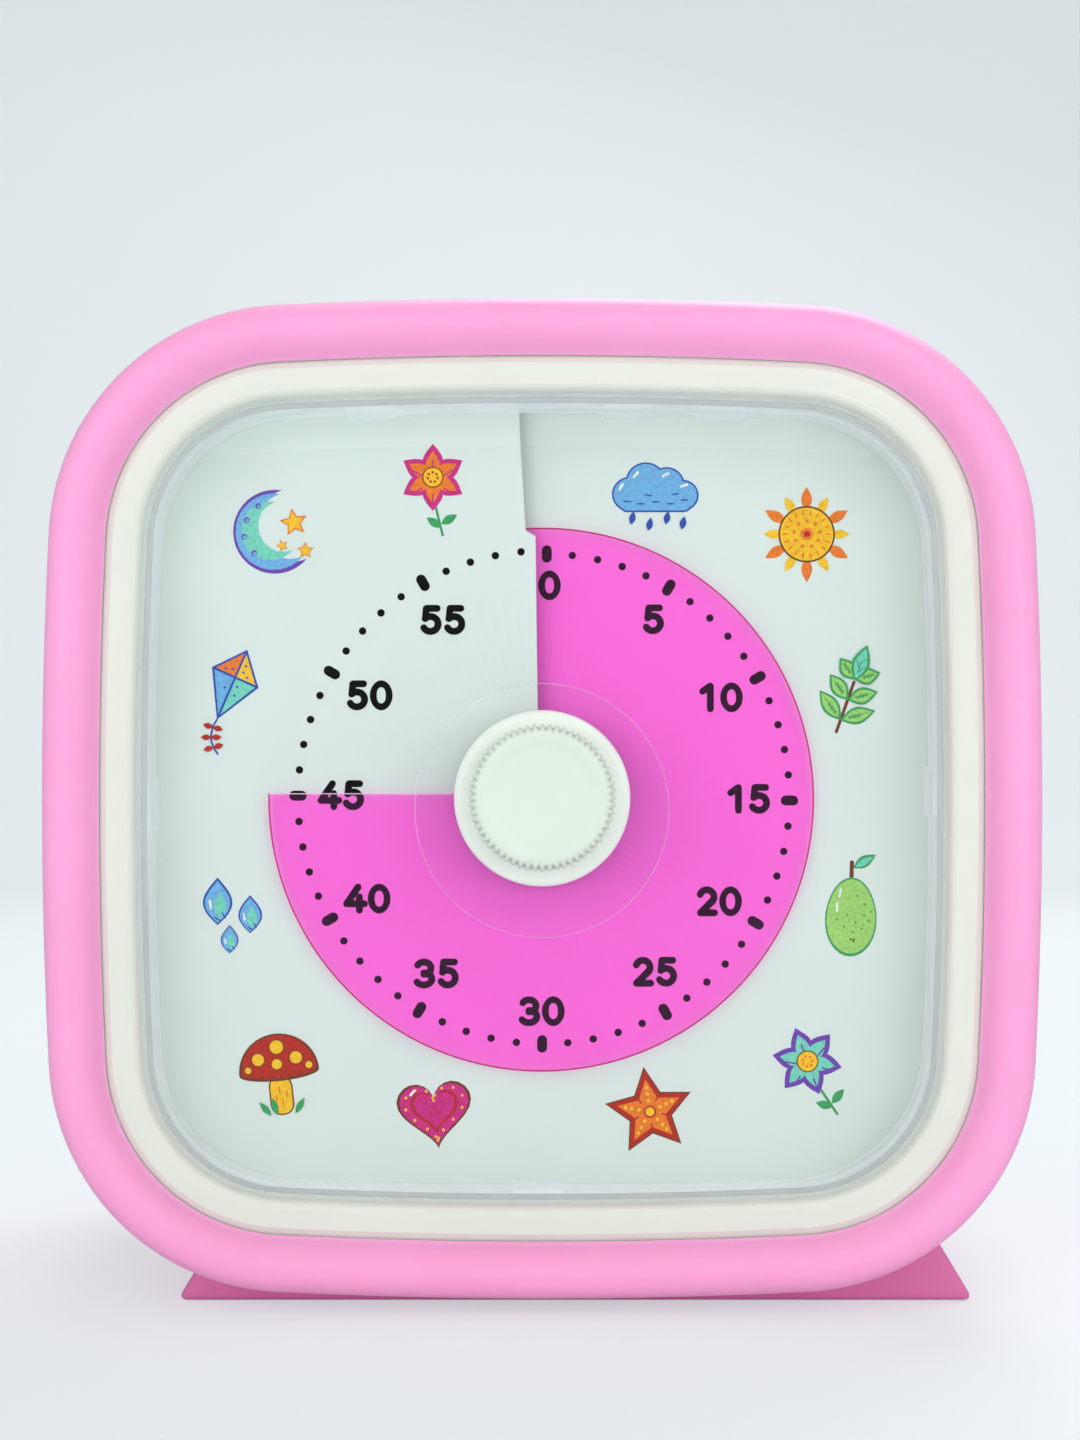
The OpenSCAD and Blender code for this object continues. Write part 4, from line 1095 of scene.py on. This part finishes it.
def kite_print():
    shapes = [("blue", [(0, 3.5), (2.3, 0.8), (0, -3.3), (-2.3, 0.8)]),
              ("yellow", [(0.1, 3.1), (1.95, 0.9), (0.1, 0.9)]),
              ("orange", [(-0.1, 3.1), (-0.1, 0.9), (-1.95, 0.9)]),
              ("mint", [(0.1, 0.7), (0.1, -2.8), (2.0, 0.7)]),
              ("sky", [(-0.1, 0.7), (-2.0, 0.7), (-0.1, -2.8)])]
    shapes += dots("blue", [(0.5, 1.5), (1.0, 1.2), (0.5, 2.1), (-0.5, 1.4), (-1.1, 1.2), (0.5, 0.1),
                            (0.6, -0.7), (-0.5, -0.4)], 0.11)
    shapes = turn_all(shapes, -24)
    tail = [(-1.5, -3.3, -30), (-1.75, -3.9, -15), (-1.85, -4.55, 0), (-1.75, -5.2, 18), (-1.45, -5.8, 34)]
    shapes += dashes("blue", tail, 0.85, 0.15)
    for x, y, turn in ((-1.68, -3.7, 75), (-1.85, -4.6, 90), (-1.65, -5.5, 105)):
        shapes += [leaf("red", x, y, 0.95, 0.3, turn), leaf("red", x, y, 0.95, 0.3, turn + 180)]
    return shapes


def drop_print():
    shapes = []
    for x, y, s in ((-1.2, 0.6, 1.0), (1.5, -0.4, 0.8), (-0.2, -2.4, 0.6)):
        shapes += [leaf("blue", x, y - 1.7 * s, 3.9 * s, 1.4 * s),
                   leaf("sky", x, y - 1.54 * s, 3.5 * s, 1.2 * s),
                   leaf("mint", x + 0.2 * s, y - 1.2 * s, 2.2 * s, 0.6 * s)]
        shapes += dashes("blue", [(x + 0.5 * s, y - 0.9 * s, 30), (x, y - 1.2 * s, 60)], 0.6 * s, 0.11)
        shapes += dashes("white", [(x - 0.6 * s, y, 8)], 0.8 * s, 0.2 * s)
    return shapes


INKS = {
    "blue": (0.03, 0.08, 0.42), "sky": (0.16, 0.42, 0.72), "mint": (0.18, 0.62, 0.48),
    "green": (0.05, 0.35, 0.12), "lime": (0.33, 0.62, 0.16), "yellow": (0.88, 0.52, 0.03),
    "orange": (0.80, 0.20, 0.03), "red": (0.45, 0.03, 0.02), "violet": (0.16, 0.06, 0.42),
    "magenta": (0.58, 0.03, 0.22), "brown": (0.16, 0.05, 0.02), "white": (0.80, 0.82, 0.78),
}

# Prints in the card's corners: name, distance from the axis in mm, clock angle, size, turn, shapes
PRINTS = [
    ("sun", 37.0, 45, 1.22, 0, sun_print()),
    ("cloud", 32.5, 20, 1.22, 0, cloud_print()),
    ("leaves", 32.7, 70, 1.25, -20, leaf_print()),
    ("flower", 37.2, 135, 1.2, 20, flower_print("violet", "mint", "orange")),
    ("pear", 32.3, 109, 1.2, 10, pear_print()),
    ("star", 32.6, 161, 1.2, 0, star_print()),
    ("mushroom", 37.2, 224, 1.2, 6, mushroom_print()),
    ("heart", 32.4, 199, 1.15, 0, heart_print()),
    ("raindrops", 32.4, 250, 1.2, 0, drop_print()),
    ("moon", 37.0, 315, 1.25, 0, moon_print()),
    ("kite", 32.4, 290, 1.1, 0, kite_print()),
    ("blossom", 32.8, 341, 1.15, 0, flower_print("magenta", "orange", "red")),
]


class TIMER_OT_prints(bpy.types.Operator):
    """Print the small coloured pictures in the card's corners"""
    bl_idname = "timer.prints"
    bl_label = "Corner prints"

    def execute(self, context):
        inks = {name: printed_ink("ink_" + name, tint) for name, tint in INKS.items()}
        for name, reach, angle, grow, turn, shapes in PRINTS:
            layers = []
            for i, (ink, points) in enumerate(shapes):
                flat = place_shape([(x * grow, y * grow) for x, y in points], *on_dial(reach, angle), turn)
                layer = start_ring("layer", [(x * MM, y * MM, 0) for x, y in flat], "NGON")
                lay_on_card(layer, (0.015 + 0.004 * i) * MM)
                give(layer, inks[ink])
                layers.append(layer)
            piece = join("print_" + name, layers)
            with editing(piece):
                bpy.ops.mesh.quads_convert_to_tris(ngon_method="BEAUTY")
            face_up(piece)
            stand_up(piece, "case")
        return {"FINISHED"}


class TIMER_OT_leads(bpy.types.Operator):
    """Run the thin insulated leads from the cell and the buzzer to the circuit board"""
    bl_idname = "timer.leads"
    bl_label = "Leads"

    # Each pair: node, slot, colour, the second lead's mirror and shift, and the first one's start,
    # handles and end in millimetres
    pairs = (("cell_leads", "red_lead", (0.45, 0.02, 0.02), -1, 0,
              [(25.95, -16, -15.9), (30.75, -8.25, -14.7), (21.28, 2.28, -18.4), (21.28, 17.78, -21.4)]),
             ("buzzer_leads", "blue_lead", (0.02, 0.05, 0.4), 1, -2.2,
              [(-8.4, 20.4, -17.22), (-8.4, 20.95, -18.27), (-12.2, 30.03, -19.25), (-12.2, 31.13, -21.4)]))

    def execute(self, context):
        for node, slot, tint, mirror, shift, points in self.pairs:
            runs = [self.lead(points), self.lead([(x * mirror + shift, y, z) for x, y, z in points])]
            piece = join(node + "_run", runs)
            give(piece, moulded(slot.replace("lead", "insulation"), tint, 0.4))
            smooth(piece, 50)
            stand_up(piece, "case")
            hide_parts(node)
        return {"FINISHED"}

    def lead(self, points):
        clear_choice()
        bpy.ops.curve.primitive_bezier_curve_add()
        lead = bpy.context.object
        start, out, back, end = (Vector(point) * MM for point in points)
        first, last = lead.data.splines[0].bezier_points
        for knot, spot, left, right in ((first, start, 2 * start - out, out),
                                        (last, end, back, 2 * end - back)):
            knot.handle_left_type = "FREE"
            knot.handle_right_type = "FREE"
            knot.co = spot
            knot.handle_left = left
            knot.handle_right = right
        lead.location = (0, 0, 0)
        lead.data.resolution_u = 20
        lead.data.bevel_depth = 0.53 * MM
        lead.data.bevel_resolution = 3
        lead.data.use_fill_caps = True
        bpy.ops.object.convert(target="MESH")
        close_up(bpy.context.object)
        return bpy.context.object


class TIMER_OT_finishes(bpy.types.Operator):
    """Give every CAD node that stays in view its finish"""
    bl_idname = "timer.finishes"
    bl_label = "Finishes"

    def execute(self, context):
        tint = colours()
        steel = turned_metal("turned_steel", (0.58, 0.58, 0.60), 0.28)
        finishes = (
            (moulded("ivory_moulding", tint.ivory, 0.32, 2400, 0.012, 0.012, 0.05, 0.2),
             "front_housing rear_housing battery_door"),
            (moulded("white_moulding", (0.78, 0.78, 0.76), 0.42),
             "film_hub hub_cap zero_cam idler_wheel motor_pinion switch_slider"),
            (moulded("grey_moulding", (0.32, 0.33, 0.34), 0.5), "movement_base movement_cover switch_body"),
            (moulded("black_moulding", (0.02, 0.02, 0.022), 0.45), "board_parts buzzer"),
            (moulded("lacquered_board", (0.03, 0.18, 0.08), 0.3, 900), "circuit_board"),
            (moulded("card_stock", tint.card, 0.62, 1500, 0.01, 0.015, 0.05, 0.15), "dial_card"),
            (turned_metal("stamped_brass", (0.80, 0.58, 0.24), 0.3), "centre_wheel"),
            (turned_metal("plated_contact", (0.88, 0.68, 0.30), 0.22), "contact_leaves cell_contact"),
            (steel, "arbor clutch_spring motor_can cell_spring housing_screws movement_screws board_screws"),
            (self.cell_jacket(), "cell"),
        )
        waiting = set(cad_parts)
        waiting -= {"sleeve", "knob", "film_disc", "clear_lens", "clear_washer", "cell_leads", "buzzer_leads"}
        for material, names in finishes:
            for name in names.split():
                waiting.remove(name)
                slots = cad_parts[name].data.materials
                for i in range(len(slots)):
                    slots[i] = material
        if waiting:
            raise RuntimeError("No finish for " + ", ".join(sorted(waiting)))
        return {"FINISHED"}

    def cell_jacket(self):
        """The cell's printed film: a copper band at one end, black along the rest, steel at the ends."""
        look = Look(bpy.data.materials.new("cell_jacket"))
        low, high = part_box("cell")
        across = look.node("SeparateXYZ", look.place()).outputs["X"]
        along = look.node("MapRange", across, From_Min=low.x, From_Max=high.x).outputs["Result"]
        steel = (0.55, 0.55, 0.57)
        # Where each band starts along the cell, its colour and how metallic it is
        bands = ((0.0, steel, 1), (0.025, (0.02, 0.02, 0.022), 0), (0.68, (0.60, 0.27, 0.10), 0.8),
                 (0.95, steel, 1))
        for name, tints in (("Base_Color", [tint for _, tint, _ in bands]),
                            ("Metallic", [(share,) * 3 for _, _, share in bands])):
            ramp = look.node("ValToRGB", along)
            ramp.color_ramp.interpolation = "CONSTANT"
            while len(ramp.color_ramp.elements) < len(bands):
                ramp.color_ramp.elements.new(0.5)
            for element, band, tint in zip(ramp.color_ramp.elements, bands, tints):
                element.position = band[0]
                element.color = (*tint, 1)
            look.shade(**{name: ramp.outputs["Color"]})
        look.gloss(look.noise(900, 2), 0.22, 0.34)
        return look.block


class TIMER_OT_stage(bpy.types.Operator):
    """Set the pale table, the lamps and the camera"""
    bl_idname = "timer.stage"
    bl_label = "Stage"

    aim = (0, 0, 0.05)
    # Each lamp: name, place, the point it faces, width and height, power
    lamps = (("top_lamp", (0, -0.8, 0.72), aim, (1.6, 0.7), 2.75),
             ("left_lamp", (-0.68, -0.78, 0.2), aim, (0.62, 0.8), 2.02),
             ("right_lamp", (0.68, -0.78, 0.2), aim, (0.62, 0.8), 2.08),
             ("front_fill", (0, -0.66, 0.08), aim, (0.9, 0.14), 1.34),
             ("back_lamp", (0.2, 0.42, 0.8), (0, 0.03, 0.05), (0.6, 0.4), 3.9))

    def execute(self, context):
        self.table()
        for lamp in self.lamps:
            self.lamp(*lamp)
        # The wide soft light from the front is kept out of the lens's reflections
        fill = bpy.data.objects["front_fill"]
        fill.visible_glossy = False
        fill.visible_transmission = False
        self.room()
        self.camera()
        context.scene.view_settings.view_transform = "Standard"
        return {"FINISHED"}

    def table(self):
        """A table top that runs up into a wall behind."""
        clear_choice()
        bpy.ops.mesh.primitive_plane_add(size=1, location=(0, 0.1, 0))
        table = bpy.context.object
        table.name = "table"
        table.scale = (3, 1.3, 1)
        bpy.ops.object.transform_apply(location=True, rotation=True, scale=True)
        with editing(table, "EDGE", "DESELECT"):
            bpy.ops.object.mode_set(mode="OBJECT")
            for edge in table.data.edges:
                edge.select = all(table.data.vertices[v].co.y > 0.5 for v in edge.vertices)
            bpy.ops.object.mode_set(mode="EDIT")
            for rise, back in ((0.05, 0.12), (0.12, 0.05), (1.2, 0.0)):
                bpy.ops.mesh.extrude_edges_move(TRANSFORM_OT_translate={"value": (0, back, rise)})
        smooth(table, 80)
        look = Look(bpy.data.materials.new("white_table"))
        slow = look.noise(6, 2)
        look.colour(slow, (0.84, 0.90, 0.92), 0.01)
        look.gloss(slow, 0.55, 0.65)
        # In reflections the table is as dim as the room, so that the clear lens stays clear
        dim = look.node("BsdfDiffuse", Color=(0.12, 0.12, 0.13, 1)).outputs["BSDF"]
        ray = look.node("LightPath").outputs
        seen = look.mix(ray["Is Glossy Ray"], look.shader.outputs["BSDF"], dim)
        # Seen by the camera, half of its white is even, and the other half keeps the shadow
        even = look.node("Emission", Color=(0.91, 0.97, 0.98, 1)).outputs["Emission"]
        half = look.math("MULTIPLY", ray["Is Camera Ray"], 0.5)
        give(table, look.show(look.mix(half, seen, even)))

    def lamp(self, name, place, aim, size, power):
        clear_choice()
        bpy.ops.object.light_add(type="AREA", location=place)
        lamp = bpy.context.object
        lamp.name = name
        lamp.data.shape = "RECTANGLE"
        lamp.data.size, lamp.data.size_y = size
        lamp.data.energy = power
        lamp.rotation_euler = (Vector(aim) - Vector(place)).to_track_quat("-Z", "Y").to_euler()

    def room(self):
        """The room is pale where the camera sees it, and darker in front of the timer for the rest."""
        look = Look(bpy.data.worlds.new("soft_room"))
        bpy.context.scene.world = look.block
        level = look.node("SeparateXYZ", look.node("TexCoord").outputs["Generated"]).outputs["Y"]
        span = look.node("MapRange", level, From_Min=-0.95, From_Max=-0.3, To_Min=0.1, To_Max=0.6)
        ray = look.node("LightPath").outputs
        pale = look.math("MAXIMUM", span.outputs["Result"], ray["Is Camera Ray"])
        look.feed(look.nodes["Background"], Strength=pale, Color=(0.90, 0.93, 0.96, 1))

    def camera(self):
        place = (-0.2 * MM, CARD_Y - 155.7 * MM, 47.7 * MM)
        clear_choice()
        bpy.ops.object.camera_add(location=place, rotation=(math.pi / 2, 0, 0))
        camera = bpy.context.object
        camera.name = "camera"
        camera.data.lens = 39.4
        camera.data.sensor_width = 36
        camera.data.shift_y = 0.0625
        camera.data.clip_start = 0.005
        bpy.context.scene.camera = camera


class TIMER_PT_panel(bpy.types.Panel):
    """Sizes, colours and steps of the timer"""
    bl_idname = "TIMER_PT_panel"
    bl_label = "Countdown timer"
    bl_space_type = "VIEW_3D"
    bl_region_type = "UI"
    bl_category = "Timer"

    def draw(self, context):
        layout = self.layout
        for group in (context.scene.timer_sizes, context.scene.timer_colours):
            box = layout.box()
            for name in group.__annotations__:
                box.prop(group, name)
        for step in STEPS:
            layout.operator(step.bl_idname)


STEPS = (TIMER_OT_stage, TIMER_OT_finishes, TIMER_OT_sleeve, TIMER_OT_lens, TIMER_OT_border,
         TIMER_OT_washer, TIMER_OT_knob, TIMER_OT_film, TIMER_OT_leads, TIMER_OT_numerals,
         TIMER_OT_minutes, TIMER_OT_prints)
CLASSES = (TimerSizes, TimerColours) + STEPS + (TIMER_PT_panel,)


def register():
    for item in CLASSES:
        bpy.utils.register_class(item)
    bpy.types.Scene.timer_sizes = bpy.props.PointerProperty(type=TimerSizes)
    bpy.types.Scene.timer_colours = bpy.props.PointerProperty(type=TimerColours)


def unregister():
    del bpy.types.Scene.timer_colours
    del bpy.types.Scene.timer_sizes
    for item in reversed(CLASSES):
        bpy.utils.unregister_class(item)


def main():
    register()
    bpy.ops.timer.stage()
    bpy.ops.timer.finishes()
    bpy.ops.timer.sleeve()
    bpy.ops.timer.lens()
    bpy.ops.timer.border()
    bpy.ops.timer.washer()
    bpy.ops.timer.knob()
    bpy.ops.timer.film()
    bpy.ops.timer.leads()
    bpy.ops.timer.numerals()
    bpy.ops.timer.minutes()
    bpy.ops.timer.prints()


if __name__ == "__main__":
    main()
